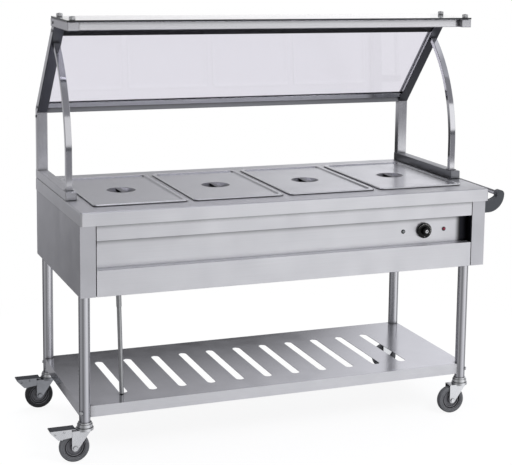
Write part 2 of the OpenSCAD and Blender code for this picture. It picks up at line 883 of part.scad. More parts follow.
module fork(braked) {
    difference() {
        union() {
            translate([0, 0, fork_top - fork_plate_t]) {
                cylinder(h = fork_plate_t, r = swivel_r);
                translate([-trail - boss_r, -cheek_y, 0])
                    cube([trail + boss_r + fork_front, 2 * cheek_y, fork_plate_t]);
            }
            translate([0, 0, fork_top]) difference() {
                cylinder(h = cup_h, r = swivel_r);
                translate([0, 0, -over]) cylinder(h = cup_h + 2 * over, r = race_r - cup_wall + cup_gap);
            }
            for (s = [-1, 1])
                translate([0, s * (cheek_y - cheek_t / 2) + cheek_t / 2, 0])
                    rotate([90, 0, 0]) linear_extrude(cheek_t) cheek_outline(braked);
        }
        cylinder(h = top_h, r = kingpin_r + fit);
    }
    translate([-trail, 0, axle_z]) rotate([90, 0, 0]) {
        cylinder(h = 2 * cheek_y + 2 * axle_head_t, r = axle_r, center = true);
        translate([0, 0, cheek_y]) cylinder(h = axle_head_t, r = axle_head_r, $fn = 6);
        translate([0, 0, -cheek_y - axle_head_t]) cylinder(h = axle_head_t, r = axle_head_r, $fn = 6);
    }
}

module at_wheel() {
    translate([-trail, 0, axle_z]) rotate([90, 0, 0]) children();
}

module tyre() {
    at_wheel() rotate_extrude() {
        translate([hub_r, -tyre_w / 2]) square([wheel_r - tyre_round - hub_r, tyre_w]);
        translate([wheel_r - tyre_round, -tyre_w / 2 + tyre_round])
            square([tyre_round, tyre_w - 2 * tyre_round]);
        for (s = [-1, 1])
            translate([wheel_r - tyre_round, s * (tyre_w / 2 - tyre_round)]) circle(tyre_round);
    }
}

module hub() {
    boss = fork_gap - 2 * hub_boss_gap;
    at_wheel() rotate_extrude() {
        translate([axle_r + fit, -boss / 2]) square([hub_boss_r - axle_r - fit, boss]);
        translate([hub_boss_r, -hub_web_t / 2]) square([hub_r - hub_boss_r, hub_web_t]);
        translate([hub_r - hub_ring_w, -hub_rim_w / 2]) square([hub_ring_w, hub_rim_w]);
        translate([hub_ring_r - hub_ring_w, -hub_rim_w / 2 + hub_ring_w])
            square([hub_ring_w, hub_rim_w - 2 * hub_ring_w]);
    }
}

module brake() {
    tip = pedal_top - pedal_tip_drop;
    pad_from = wheel_r + pad_gap;
    for (s = [-1, 1])
        translate([0, s * (pedal_y - pedal_t / 2) + pedal_t / 2, 0]) rotate([90, 0, 0])
            linear_extrude(pedal_t) difference() {
                polygon([[-pedal_reach, pedal_top], [-pedal_reach + pedal_t, tip],
                    [-pedal_side_foot, fork_top - pedal_side_low - pedal_tip_drop],
                    [-pedal_side_in, fork_top - pedal_side_low], [-pedal_side_in, pedal_top]]);
                translate([pivot_x, pivot_z]) circle(pedal_pin_r - fit);
            }
    translate([-pedal_reach, -pedal_y, pedal_top - pedal_t])
        cube([pedal_reach - pedal_in, 2 * pedal_y, pedal_t]);
    translate([pivot_x, pedal_y, pivot_z]) rotate([90, 0, 0]) cylinder(h = 2 * pedal_y, r = pedal_pin_r);
    translate([-trail, 0, axle_z]) rotate([0, -pad_angle, 0])
        translate([pad_from, -pedal_y + pedal_t / 2, -pad_len / 2])
            cube([pad_t, 2 * pedal_y - pedal_t, pad_len]);
}

module at_leg(sx, sy) {
    placed() translate([sx * leg_x, leg_y(sy), 0]) children();
}

module fork_front_left() {
    color(zinc) at_leg(-1, -1) fork(true);
}

module fork_rear_left() {
    color(zinc) at_leg(-1, 1) fork(true);
}

module fork_front_right() {
    color(zinc) at_leg(1, -1) fork(false);
}

module fork_rear_right() {
    color(zinc) at_leg(1, 1) fork(false);
}

module tyre_front_left() {
    color(rubber_grey) at_leg(-1, -1) tyre();
}

module tyre_rear_left() {
    color(rubber_grey) at_leg(-1, 1) tyre();
}

module tyre_front_right() {
    color(rubber_grey) at_leg(1, -1) tyre();
}

module tyre_rear_right() {
    color(rubber_grey) at_leg(1, 1) tyre();
}

module hub_front_left() {
    color(hub_grey) at_leg(-1, -1) hub();
}

module hub_rear_left() {
    color(hub_grey) at_leg(-1, 1) hub();
}

module hub_front_right() {
    color(hub_grey) at_leg(1, -1) hub();
}

module hub_rear_right() {
    color(hub_grey) at_leg(1, 1) hub();
}

module brake_front_left() {
    color(zinc) at_leg(-1, -1) brake();
}

module brake_rear_left() {
    color(zinc) at_leg(-1, 1) brake();
}

// bracket in side view: a hooked arm that widens to its base on the cabinet's side
module bracket_outline() {
    base_z = push_z - bracket_out_r;
    arc_x = push_x - bracket_back;
    difference() {
        union() {
            translate([side_x, base_z]) square([arc_x - side_x, bracket_base_h]);
            intersection() {
                translate([arc_x, push_z]) circle(bracket_out_r);
                translate([arc_x, base_z]) square(bracket_out_r);
            }
        }
        translate([arc_x, base_z + bracket_base_h + bracket_in_r]) circle(bracket_in_r);
    }
    translate([push_x, push_z]) circle(bracket_tip_r);
}

module handle_brackets() {
    color(plastic_grey) placed() difference() {
        for (s = [-1, 1]) {
            translate([0, s * handle_span / 2 + bracket_t / 2, 0])
                rotate([90, 0, 0]) linear_extrude(bracket_t) bracket_outline();
            translate([side_x - bracket_stud_len, s * handle_span / 2, bracket_stud_z]) rotate([0, 90, 0]) {
                cylinder(h = 2 * bracket_stud_len, r = shelf_bolt_r);
                translate([0, 0, bracket_stud_len - sheet - bracket_nut_t])
                    cylinder(h = bracket_nut_t, r = bracket_nut_r, $fn = 6);
            }
        }
        translate([push_x, -handle_span / 2 - bracket_t / 2 + bracket_t - push_sink, push_z])
            rotate([-90, 0, 0]) cylinder(h = handle_span - bracket_t + 2 * push_sink, r = push_r + fit);
    }
}

module push_tube() {
    len = handle_span - bracket_t + 2 * push_sink;
    color(zinc) placed() translate([push_x, -len / 2, push_z]) rotate([-90, 0, 0]) difference() {
        cylinder(h = len, r = push_r);
        translate([0, 0, -over]) cylinder(h = len + 2 * over, r = push_r - drain_wall);
    }
}

// rectangular tube along Y, closed at its front end
module rail_tube(w, h, len) {
    difference() {
        translate([-w / 2, 0, 0]) cube([w, len, h]);
        translate([-w / 2 + tube_wall, tube_wall, tube_wall])
            cube([w - 2 * tube_wall, len, h - 2 * tube_wall]);
    }
}

module base_rails() {
    color(steel_dark) placed() both_ends() translate([-guard_x, base_y0, top_h])
        rail_tube(tube_w, tube_d, base_y1 - base_y0);
}

// rectangular tube along Z, open at both ends
module post_tube(len) {
    difference() {
        translate([-tube_w / 2, -tube_d / 2, 0]) cube([tube_w, tube_d, len]);
        translate([-tube_w / 2 + tube_wall, -tube_d / 2 + tube_wall, -over])
            cube([tube_w - 2 * tube_wall, tube_d - 2 * tube_wall, len + 2 * over]);
    }
}

// everything above the mitre between a post and its leaning tube
module above_mitre() {
    translate([-guard_x, post_y, bend_z]) rotate([lean / 2, 0, 0])
        translate([-tube_w, -bend_lift, 0]) cube([2 * tube_w, 2 * bend_lift, 2 * arm_lift]);
}

module rear_posts() {
    color(steel_dark) placed() both_ends() difference() {
        translate([-guard_x, post_y, base_top]) post_tube(bend_z + tube_d - base_top);
        above_mitre();
    }
}

// place and direction of a leaning tube's axis: Z runs up along the tube
module along_lean() {
    translate([0, post_y, bend_z]) rotate([lean, 0, 0]) children();
}

module leaning_tubes() {
    color(steel_dark) placed() both_ends() difference() {
        intersection() {
            translate([-guard_x, 0, 0]) along_lean()
                translate([0, 0, -tube_d]) post_tube((arm_z - bend_z) / cos(lean) + 2 * tube_d);
            above_mitre();
        }
        translate([-top_w, -top_d, arm_z]) cube([2 * top_w, 2 * top_d, arm_lift]);
    }
}

module bow_section() {
    difference() {
        square([bow_t, bow_w], center = true);
        square([bow_t - 2 * tube_wall, bow_w - 2 * tube_wall], center = true);
    }
}

module guard_bows() {
    color(steel) placed() both_ends() translate([-guard_x, 0, 0]) difference() {
        union() {
            translate([0, bow_y, base_top]) rotate(90) linear_extrude(bow_straight) bow_section();
            translate([0, bow_y + bow_r, bow_z]) rotate([90, 0, -90])
                rotate_extrude(angle = 60, $fn = 180) translate([bow_r, 0]) bow_section();
            translate([-bow_w / 2 - bow_foot_margin, bow_y - bow_t / 2 - bow_foot_margin, base_top])
                cube([bow_w + 2 * bow_foot_margin, bow_t + 2 * bow_foot_margin, bow_foot_t]);
        }
        along_lean() translate([-tube_w, -tube_d / 2, -bend_lift])
            cube([2 * tube_w, 2 * arm_lift, 3 * arm_lift]);
    }
}

// U channel for a glass edge: its mouth looks up the slope, or down it when flipped
module glass_channel() {
    difference() {
        translate([-guard_in, -channel_t / 2, 0]) cube([2 * guard_in, channel_t, channel_len]);
        translate([-guard_in - over, -glass_t / 2 - sheet_gap, channel_len - glass_bite])
            cube([2 * (guard_in + over), glass_t + 2 * sheet_gap, channel_len]);
    }
}

module lower_cross_bar() {
    color(steel) placed() {
        difference() {
            translate([-guard_in, post_y - cross_d / 2, cross_z]) cube([2 * guard_in, cross_d, cross_h]);
            translate([-guard_in - over, post_y - cross_d / 2 + tube_wall, cross_z + tube_wall])
                cube([2 * (guard_in + over), cross_d - 2 * tube_wall, cross_h - 2 * tube_wall]);
        }
        along_lean() translate([0, 0, channel_low]) glass_channel();
    }
}

module upper_glass_channel() {
    color(black) placed() along_lean() translate([0, 0, channel_high + channel_len])
        rotate([180, 0, 0]) glass_channel();
}

module slanted_glass() {
    low = channel_low + channel_len - glass_bite;
    high = channel_high + glass_bite;
    color(glass_tint, 0.4) placed() along_lean()
        translate([-guard_in + sheet_gap, -glass_t / 2, low])
            cube([2 * (guard_in - sheet_gap), glass_t, high - low]);
}

module top_arms() {
    color(steel) placed() both_ends() translate([-guard_x, arm_y0, arm_z])
        rail_tube(tube_w, arm_h, arm_y1 - arm_y0);
}

module front_rail() {
    color(steel_light) placed() difference() {
        translate([-guard_in, arm_y0 + rail_back, arm_z]) cube([2 * guard_in, rail_d, arm_h]);
        translate([-guard_in - over, arm_y0 + rail_back + tube_wall, arm_z + tube_wall])
            cube([2 * (guard_in + over), rail_d - 2 * tube_wall, arm_h - 2 * tube_wall]);
    }
}

glass_z = arm_z + arm_h + pad_t2;

module at_clamps() {
    for (sx = [-1, 1], y = [clamp_front, clamp_rear])
        translate([sx * guard_x, arm_y0 + y, 0]) children();
}

module top_glass() {
    color(glass_tint, 0.4) placed() difference() {
        translate([-top_w / 2, arm_y0 + glass_front, glass_z])
            cube([top_w, glass_d, glass_t]);
        at_clamps() translate([0, 0, glass_z - over]) cylinder(h = glass_t + 2 * over, r = clamp_hole_r);
    }
}

module clamp_knobs() {
    color(zinc) placed() at_clamps() {
        translate([0, 0, arm_z + arm_h]) {
            cylinder(h = pad_t2, r = clamp_r);
            cylinder(h = 2 * pad_t2 + glass_t + clamp_h, r = clamp_stud_r);
        }
        translate([0, 0, glass_z + glass_t]) cylinder(h = clamp_h, r = clamp_r);
    }
}

// bolt head on the outer face of a guard tube
module guard_bolt(y, z) {
    translate([-guard_x - tube_w / 2 - guard_bolt_t, y, z]) rotate([0, 90, 0])
        cylinder(h = guard_bolt_t, r = guard_bolt_r);
}

module guard_bolts() {
    up = tube_d * 2 / 3;
    color(zinc) placed() both_ends() {
        guard_bolt(post_y, bend_z - up);
        guard_bolt(post_y - up * sin(lean), bend_z + up * cos(lean));
        guard_bolt(arm_meet_y + up * sin(lean), arm_z - up * cos(lean));
        guard_bolt(arm_meet_y, arm_z + arm_h / 2);
    }
}

// flat rim with a turned-down edge, round an inner outline of the given size
module rim(h, w, d, r) {
    translate([0, 0, h - pan_sheet]) linear_extrude(pan_sheet) difference() {
        round_rect(pan_w, pan_d, rim_corner_r);
        round_rect(w, d, r);
    }
    linear_extrude(h) difference() {
        round_rect(pan_w, pan_d, rim_corner_r);
        round_rect(pan_w - 2 * pan_sheet, pan_d - 2 * pan_sheet, rim_corner_r - pan_sheet);
    }
}

// wall and floor round a corner's axis: outer radius, foot, depth and foot rounding
module wall_profile(r, low, depth, foot_r) {
    translate([r - pan_sheet, low + foot_r]) square([pan_sheet, depth - foot_r]);
    translate([r - foot_r, low + foot_r]) mirror([0, 1]) quarter_ring(foot_r, pan_sheet);
    translate([0, low]) square([r - foot_r, pan_sheet]);
}

// open tray hung from its rim
module tray(rim_h, depth, w, d, r, foot_r) {
    low = rim_h - depth;
    rim(rim_h, w - 2 * pan_sheet, d - 2 * pan_sheet, r - pan_sheet);
    ring_sweep(w, d, r) wall_profile(r, low, depth, foot_r);
    translate([0, 0, low]) linear_extrude(pan_sheet) square([w - 2 * r, d - 2 * r], center = true);
}

module pan(i) {
    color(steel) placed() translate([pan_x(i), 0, top_h])
        tray(pan_rim_h, pan_depth, pan_body_w, pan_body_d, pan_corner_r, pan_floor_r);
}

module lid(i) {
    low = lid_rim_h - lid_drop;
    color(steel_light) placed() translate([pan_x(i), 0, top_h + pan_rim_h]) {
        difference() {
            union() {
                tray(lid_rim_h, lid_drop, lid_well_w, lid_well_d, lid_corner_r, lid_floor_r);
                translate([0, 0, low - dish_depth + pan_sheet]) cylinder(h = dish_depth, r = dish_r + pan_sheet);
            }
            translate([0, 0, low - dish_depth + 2 * pan_sheet]) cylinder(h = dish_depth, r = dish_r);
        }
        translate([-strap_w / 2, -dish_r - pan_sheet, low + pan_sheet - strap_t])
            cube([strap_w, 2 * (dish_r + pan_sheet), strap_t]);
    }
}

module pan_1() {
    pan(0);
}

module pan_2() {
    pan(1);
}

module pan_3() {
    pan(2);
}

module pan_4() {
    pan(3);
}

module lid_1() {
    lid(0);
}

module lid_2() {
    lid(1);
}

module lid_3() {
    lid(2);
}

module lid_4() {
    lid(3);
}

worktop();
left_side_panel();
right_side_panel();
upper_front_strip();
control_panel();
lower_front_strip();
rear_panel();
floor_panel();
water_tank();
heating_elements();
thermostat();
grey_lamp();
red_lamp();
terminal_box();
cable_gland();
drain_fitting();
drain_pipe();
front_legs();
rear_legs();
leg_plates();
lower_shelf();
shelf_bolts();
caster_heads();
handle_brackets();
push_tube();
base_rails();
rear_posts();
leaning_tubes();
guard_bows();
lower_cross_bar();
slanted_glass();
upper_glass_channel();
top_arms();
front_rail();
top_glass();
clamp_knobs();
guard_bolts();
control_knob();
brake_front_left();
brake_rear_left();
fork_front_left();
fork_rear_left();
fork_front_right();
fork_rear_right();
tyre_front_left();
tyre_rear_left();
tyre_front_right();
tyre_rear_right();
hub_front_left();
hub_rear_left();
hub_front_right();
hub_rear_right();
pan_1();
pan_2();
pan_3();
pan_4();
lid_1();
lid_2();
lid_3();
lid_4();
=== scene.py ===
# Heated buffet trolley: the pieces that show and their finishes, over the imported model.
import json
import math

import bmesh
import bpy
from mathutils import Matrix, Vector


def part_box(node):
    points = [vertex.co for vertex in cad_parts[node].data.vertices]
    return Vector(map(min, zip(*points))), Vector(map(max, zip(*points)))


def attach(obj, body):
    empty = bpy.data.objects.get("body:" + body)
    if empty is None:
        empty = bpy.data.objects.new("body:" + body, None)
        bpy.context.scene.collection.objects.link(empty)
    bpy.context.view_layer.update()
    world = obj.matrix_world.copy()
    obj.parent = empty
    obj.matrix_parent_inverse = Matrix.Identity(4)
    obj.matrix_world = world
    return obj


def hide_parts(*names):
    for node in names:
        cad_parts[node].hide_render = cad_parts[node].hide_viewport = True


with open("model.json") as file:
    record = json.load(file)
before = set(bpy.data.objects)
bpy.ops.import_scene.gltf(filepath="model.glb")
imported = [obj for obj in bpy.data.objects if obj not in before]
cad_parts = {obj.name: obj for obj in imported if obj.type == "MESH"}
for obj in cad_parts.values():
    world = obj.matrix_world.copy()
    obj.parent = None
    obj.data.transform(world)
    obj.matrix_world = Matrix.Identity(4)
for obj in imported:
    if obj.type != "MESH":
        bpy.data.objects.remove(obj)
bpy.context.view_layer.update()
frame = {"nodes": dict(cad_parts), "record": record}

MM = 0.001
# The drawing counts millimetres from the worktop's middle; this is that point in the model.
DRAWING_MIDDLE = Vector((-16.5, -1.5, 0))


def place(x, y, z):
    """A point of the drawing, in millimetres, as a point of the model, in metres."""
    return (Vector((x, y, z)) + DRAWING_MIDDLE) * MM


# ---------------------------------------------------------------- camera and light

# the lens, the place and the directions come from a camera solved on points of the photograph
lens_data = bpy.data.cameras.new("camera")
lens_data.lens = 97.51
lens_data.sensor_width = 36
lens_data.shift_x = -0.1239
lens_data.shift_y = -0.1795
lens_data.clip_end = 100
camera = bpy.data.objects.new("camera", lens_data)
bpy.context.scene.collection.objects.link(camera)
bpy.context.scene.camera = camera
looking = Vector((0.388, 0.910, -0.1461)).normalized()
rightward = looking.cross(Vector((0.040, 0.1417, 0.9891))).normalized()
upward = rightward.cross(looking)
camera.matrix_world = (Matrix.Translation((-1.7776, -4.6710, 1.7659))
    @ Matrix((rightward, upward, -looking)).transposed().to_4x4())
bpy.context.scene.view_settings.view_transform = "Standard"


def hexa(code):
    """The linear colour of an sRGB hex code such as C8C9CC."""
    parts = [int(code[i:i + 2], 16) / 255 for i in (0, 2, 4)]
    return tuple(c / 12.92 if c <= 0.04045 else ((c + 0.055) / 1.055) ** 2.4 for c in parts) + (1,)


def add(tree, kind, inputs=None, **settings):
    """Adds a node, sets it, and links or fills its inputs by name or number."""
    made = tree.nodes.new(kind)
    for name, value in settings.items():
        setattr(made, name, value)
    for name, value in (inputs or {}).items():
        if isinstance(value, bpy.types.NodeSocket):
            tree.links.new(value, made.inputs[name])
        else:
            made.inputs[name].default_value = value
    return made


def emptied(holder):
    holder.use_nodes = True
    holder.node_tree.nodes.clear()
    return holder.node_tree


def spread(tree, value, low, high, start=0.0, end=1.0, **settings):
    """A value that runs from low to high, carried over to the run from start to end."""
    return add(tree, "ShaderNodeMapRange", {"Value": value, "From Min": low, "From Max": high,
        "To Min": start, "To Max": end}, **settings).outputs["Result"]


def times(tree, one, other):
    return add(tree, "ShaderNodeMath", {0: one, 1: other}, operation="MULTIPLY").outputs[0]


def ramp(tree, value, stops):
    """Colours along a value from 0 to 1: each stop is a place and an sRGB hex code or a linear grey."""
    made = add(tree, "ShaderNodeValToRGB", {0: value})
    elements = made.color_ramp.elements
    while len(elements) < len(stops):
        elements.new(0.5)
    for element, (spot, shade) in zip(elements, stops):
        element.position = spot
    for element, (spot, shade) in zip(elements, stops):
        element.color = hexa(shade) if isinstance(shade, str) else (shade, shade, shade, 1)
    return made.outputs[0]


def by_camera(tree, rays):
    """1 for what the camera sees, straight or through glass, and 0 for the rest."""
    return add(tree, "ShaderNodeMath", {0: rays.outputs["Is Camera Ray"],
        1: rays.outputs["Is Transmission Ray"]}, operation="MAXIMUM").outputs[0]


# The studio as the metal mirrors it, by height: a dark floor right below, a grey floor farther
# off, a thin dark edge at eye level, a bright panel over it, and a dim ceiling that is brighter
# right overhead.
world = bpy.data.worlds.new("studio")
bpy.context.scene.world = world
tree = emptied(world)
direction = add(tree, "ShaderNodeTexCoord").outputs["Generated"]
heights = add(tree, "ShaderNodeSeparateXYZ", {0: direction})
room = ramp(tree, spread(tree, heights.outputs["Z"], -1.0, 1.0), [(0.10, "5E5F64"), (0.22, "84858B"),
    (0.33, "E4E5E9"), (0.38, "FFFFFF"), (0.476, "FFFFFF"), (0.49, "55565B"), (0.512, "55565B"),
    (0.524, "FFFFFF"), (0.738, "FFFFFF"), (0.75, "BEBFC4"), (0.91, "A8A9AE"), (0.94, "D8D9DD"),
    (1.0, "D8D9DD")])
# it is dimmer to the left of the camera and falls off at both sides, which shades the round legs
flags = ramp(tree, spread(tree, heights.outputs["X"], -1.0, 1.0), [(0.0, "9E9E9E"), (0.04, "B8B8B8"),
    (0.12, "8E8E8E"), (0.27, "8E8E8E"), (0.40, "BABABA"), (0.54, "DEDEDE"), (0.62, "E6E6E6"),
    (0.73, "FFFFFF"), (0.86, "FFFFFF"), (0.94, "E0E0E0"), (0.985, "8A8A8A")])
studio = add(tree, "ShaderNodeVectorMath", {0: room, 1: flags}, operation="MULTIPLY")
rays = add(tree, "ShaderNodeLightPath")
# what metal mirrors through a glass sheet is the studio too, not the white backdrop
bounced = add(tree, "ShaderNodeMath", {0: rays.outputs["Glossy Depth"], 1: 0.5}, operation="GREATER_THAN")
straight = add(tree, "ShaderNodeMath", {0: by_camera(tree, rays), 1: bounced.outputs[0]},
    operation="SUBTRACT", use_clamp=True)
by_metal = add(tree, "ShaderNodeMath", {0: rays.outputs["Is Glossy Ray"], 1: bounced.outputs[0]},
    operation="MAXIMUM")
metal_sees = add(tree, "ShaderNodeBackground", {"Color": studio.outputs[0], "Strength": 1.15})
lights_up = add(tree, "ShaderNodeBackground", {"Color": hexa("F0F1F4"), "Strength": 0.72})
backdrop = add(tree, "ShaderNodeBackground", {"Color": hexa("FFFFFF"), "Strength": 1.0})
shone = add(tree, "ShaderNodeMixShader", {0: by_metal.outputs[0], 1: lights_up.outputs[0],
    2: metal_sees.outputs[0]})
shown = add(tree, "ShaderNodeMixShader", {0: straight.outputs[0], 1: shone.outputs[0],
    2: backdrop.outputs[0]})
add(tree, "ShaderNodeOutputWorld", {0: shown.outputs[0]})


def softbox(name, spot, aim, width, height, watts):
    data = bpy.data.lights.new(name, "AREA")
    data.shape = "RECTANGLE"
    data.size, data.size_y, data.energy = width, height, watts
    lamp = bpy.data.objects.new(name, data)
    bpy.context.scene.collection.objects.link(lamp)
    lamp.location = spot
    # the metal mirrors the panels drawn in the world, not the lamps
    lamp.visible_glossy = False
    lamp.rotation_euler = (Vector(aim) - Vector(spot)).to_track_quat("-Z", "Y").to_euler()


softbox("main_softbox", (1.6, -3.6, 3.6), (0, 0, 0.7), 2.4, 1.8, 70)
softbox("top_softbox", (-0.6, 1.2, 3.6), (0, 0, 0.8), 2.6, 1.6, 30)


def seam_shade(tree, reach, deepest, shut_at=0.40):
    """Painted shade: how much darker a corner or seam is coloured where it can't see the studio, within
    reach mm.
    """
    near = add(tree, "ShaderNodeAmbientOcclusion", {"Distance": reach * MM}, samples=8)
    return spread(tree, near.outputs["AO"], shut_at, 0.97, deepest, 1.0)


def banded(tree, where, shaded, bands):
    """A shade times soft bands of painted shade in the drawing: each (axis, from mm, to mm, shade there,
    shade here).
    """
    parts = add(tree, "ShaderNodeSeparateXYZ", {0: where})
    for axis, start, end, shade_from, shade_to in bands:
        shift = DRAWING_MIDDLE["XYZ".index(axis)]
        shaded = times(tree, shaded, spread(tree, parts.outputs[axis], (start + shift) * MM,
            (end + shift) * MM, shade_from, shade_to, interpolation_type="SMOOTHSTEP"))
    return shaded


def tinted(tree, colour, shaded):
    """A colour made darker by a shade."""
    return add(tree, "ShaderNodeVectorMath", {0: hexa(colour)[:3], "Scale": shaded},
        operation="SCALE").outputs[0]


def noise(tree, where, size, detail=3.0, roughness=0.5):
    """A noise with marks about size mm across."""
    return add(tree, "ShaderNodeTexNoise", {"Vector": where, "Scale": 1 / (size * MM), "Detail": detail,
        "Roughness": roughness}).outputs["Fac"]


def steel(name, colour, rough, line, stroke, along, depth, patches, grain_tint, reach=14,
        deepest=0.25, shut_at=0.40, bands=()):
    """Brushed or ground steel: fine parallel lines, line mm apart and stroke mm long, along one axis."""
    made = bpy.data.materials.new(name)
    tree = emptied(made)
    where = add(tree, "ShaderNodeTexCoord").outputs["Object"]
    across, with_grain = 1 / (line * MM), 1 / (stroke * MM)
    scale = [with_grain if axis == along else across for axis in "XYZ"]
    lines = add(tree, "ShaderNodeMapping", {"Vector": where, "Scale": scale})
    grain = add(tree, "ShaderNodeTexNoise", {"Vector": lines.outputs[0], "Scale": 1.0, "Detail": 3.0,
        "Roughness": 0.6}).outputs["Fac"]
    # handling marks, 90 mm across, that dull the polish a little
    marks = noise(tree, where, 90, 4.0, 0.55)
    tint = spread(tree, grain, 0.3, 0.7, 1 - grain_tint, 1 + grain_tint / 2)
    # painted shade in seams and corners, times painted shade in the bands given
    shaded = banded(tree, where, times(tree, tint, seam_shade(tree, reach, deepest, shut_at)), bands)
    dull = spread(tree, marks, 0.3, 0.7, rough - patches, rough + patches)
    dull_grain = add(tree, "ShaderNodeMath", {0: grain, 1: 0.08, 2: dull}, operation="MULTIPLY_ADD")
    relief = add(tree, "ShaderNodeBump", {"Height": grain, "Distance": depth * MM, "Strength": 0.35})
    skin = add(tree, "ShaderNodeBsdfPrincipled", {"Base Color": tinted(tree, colour, shaded),
        "Metallic": 1.0, "Roughness": dull_grain.outputs[0], "Normal": relief.outputs[0]})
    add(tree, "ShaderNodeOutputMaterial", {0: skin.outputs[0]})
    return made


def moulded(name, colour, rough, grit, depth, spots=0.08, metallic=0.0, coat=0.0, ior=1.5):
    """Plastic, rubber, paint or cast metal: an even colour with a fine grit mm across."""
    made = bpy.data.materials.new(name)
    tree = emptied(made)
    where = add(tree, "ShaderNodeTexCoord").outputs["Object"]
    grains = noise(tree, where, grit)
    # slow changes of shade, 35 mm across, from dust and handling
    tint = spread(tree, noise(tree, where, 35), 0.3, 0.7, 1 - spots, 1 + spots)
    # painted shade in seams and corners
    shaded = times(tree, tint, seam_shade(tree, 6, 0.3))
    dull = spread(tree, grains, 0.3, 0.7, max(0.03, rough - 0.05), rough + 0.05)
    relief = add(tree, "ShaderNodeBump", {"Height": grains, "Distance": depth * MM, "Strength": 0.4})
    skin = add(tree, "ShaderNodeBsdfPrincipled", {"Base Color": tinted(tree, colour, shaded),
        "Metallic": metallic, "Roughness": dull, "Normal": relief.outputs[0], "Coat Weight": coat,
        "IOR": ior})
    add(tree, "ShaderNodeOutputMaterial", {0: skin.outputs[0]})
    return made


def clear(name, colour, rough, ior):
    """Glass, with faint wiping marks, 120 mm across, that only dull it."""
    made = bpy.data.materials.new(name)
    tree = emptied(made)
    where = add(tree, "ShaderNodeTexCoord").outputs["Object"]
    dull = spread(tree, noise(tree, where, 120), 0.35, 0.75, rough, rough + 0.02)
    skin = add(tree, "ShaderNodeBsdfPrincipled", {"Base Color": hexa(colour), "Roughness": dull,
        "Transmission Weight": 1.0, "IOR": ior})
    add(tree, "ShaderNodeOutputMaterial", {0: skin.outputs[0]})
    return made


# ---------------------------------------------------------------- finishes

# stainless sheet, belt-brushed along the trolley: a satin face with long fine lines
sheet_steel = steel("brushed_stainless_sheet", "D6D6DA", 0.30, 1.4, 260, "X", 0.008, 0.04, 0.03)
# the front strips and the worktop's lip: the same sheet, seen across its lines, so duller; painted lighter
# than the sheet, with deep painted shade under the lip and the strips above
front_steel = steel("brushed_stainless_front", "F0F0F4", 0.40, 1.4, 260, "X", 0.008, 0.04, 0.03, 24,
    0.36, 0.82)
# the control panel between them: painted lighter than the sheet, with painted shade under the strip above it
# and into its right end
panel_steel = steel("brushed_stainless_panel", "EEEEF2", 0.40, 1.4, 260, "X", 0.008, 0.04, 0.03, 5,
    0.6, 0.40, [("Z", 772, 746, 0.34, 1.0), ("X", 641, 664, 1.0, 0.05)])
# the ledge under the control panel, seen edge on: the front's steel, a little duller, with only a light
# painted shade in its corner
ledge_steel = steel("shaded_stainless_ledge", "F0F0F4", 0.45, 1.4, 260, "X", 0.008, 0.04, 0.03, 3, 0.9)
# the lower shelf: the same sheet with a finer belt, so its face mirrors the dark floor more clearly
shelf_steel = steel("brushed_stainless_shelf", "CDCDD2", 0.15, 1.4, 260, "X", 0.006, 0.03, 0.03)
# the control panel's right end and its return, painted dark as shade
shade_painted_return = steel("steel_painted_dark_as_shade", "34343A", 0.38, 1.4, 60, "Z", 0.008, 0.04, 0.12)
# the two ends: the same sheet with its lines running front to back
end_steel = steel("brushed_stainless_end_sheet", "CFCFD4", 0.32, 1.4, 200, "Y", 0.008, 0.04, 0.03)
# ground stainless tube: lines along the tube, a little brighter in streaks
upright_tube = steel("ground_stainless_upright_tube", "CBCBD0", 0.12, 1.6, 180, "Z", 0.006, 0.03, 0.05)
bow_tube = steel("polished_stainless_bow_tube", "D2D2D7", 0.05, 1.6, 180, "Z", 0.003, 0.02, 0.04)
# the same tube painted darker as shade: the right base rail, the leaning tubes' undersides and the cross
# bar's front
right_rail_shade_tube = steel("stainless_tube_painted_shade_right", "8C8D92", 0.26, 1.6, 180, "Y", 0.006, 0.03, 0.05)
underside_shade_tube = steel("stainless_tube_painted_shade_under", "76777C", 0.28, 1.6, 180, "Y", 0.006, 0.03, 0.06)
level_tube = steel("ground_stainless_level_tube", "C6C6CB", 0.20, 1.6, 180, "Y", 0.006, 0.03, 0.05)
front_face_shade_bar = steel("stainless_bar_painted_shade_front", "84858A", 0.28, 1.6, 180, "X", 0.006, 0.03, 0.05)
rail_tube = steel("ground_stainless_rail_tube", "DCDCE0", 0.18, 1.6, 220, "X", 0.006, 0.03, 0.05)
# deep-drawn stainless of the pans and lids: smoother, so it mirrors more
drawn_steel = steel("drawn_stainless", "CFCFD4", 0.18, 2.4, 120, "Y", 0.004, 0.04, 0.03, 9, 0.12)
# their rims, polished when the edge is turned down, and painted brighter as a highlight
rim_highlight_steel = steel("polished_stainless_rim_painted_highlight", "EDEDF1", 0.16, 2.4, 120, "Y", 0.003, 0.03, 0.02, 2, 0.7)
# the lids' finger dishes: stretched most by the press, so duller, and painted darker as shade
dish_shade_steel = steel("stretched_stainless_dish_painted_shade", "909095", 0.42, 2.4, 120, "Y", 0.004, 0.04, 0.03, 22, 0.1)
# chromed push tube: nearly a mirror
chrome = steel("bright_chrome_plating", "DADADD", 0.06, 1.2, 200, "Y", 0.004, 0.02, 0.02)
# zinc plating on pressed steel: pale, soft sheen, slightly blotchy
zinc = moulded("zinc_plated_steel", "ECEDEF", 0.28, 1.4, 0.003, 0.04, 1.0)
worn_zinc = moulded("worn_zinc_pedal_top", "6A6C71", 0.40, 1.4, 0.005, 0.12, 1.0)
# the rear left caster's zinc, painted darker as shade
rear_left_shade_zinc = moulded("zinc_plated_steel_painted_shade", "A2A4A9", 0.34, 1.4, 0.005, 0.08, 1.0)
pipe_metal = moulded("nickel_plated_pipe", "B5B6B8", 0.33, 1.6, 0.02, 0.08, 1.0)
element_metal = moulded("oxidised_heating_tube", "6F7074", 0.45, 1.2, 0.03, 0.12, 1.0)
# float glass: clear, with a faint grey-violet cast in the thick
guard_glass = clear("clear_float_glass", "E6E4EC", 0.0, 1.5)
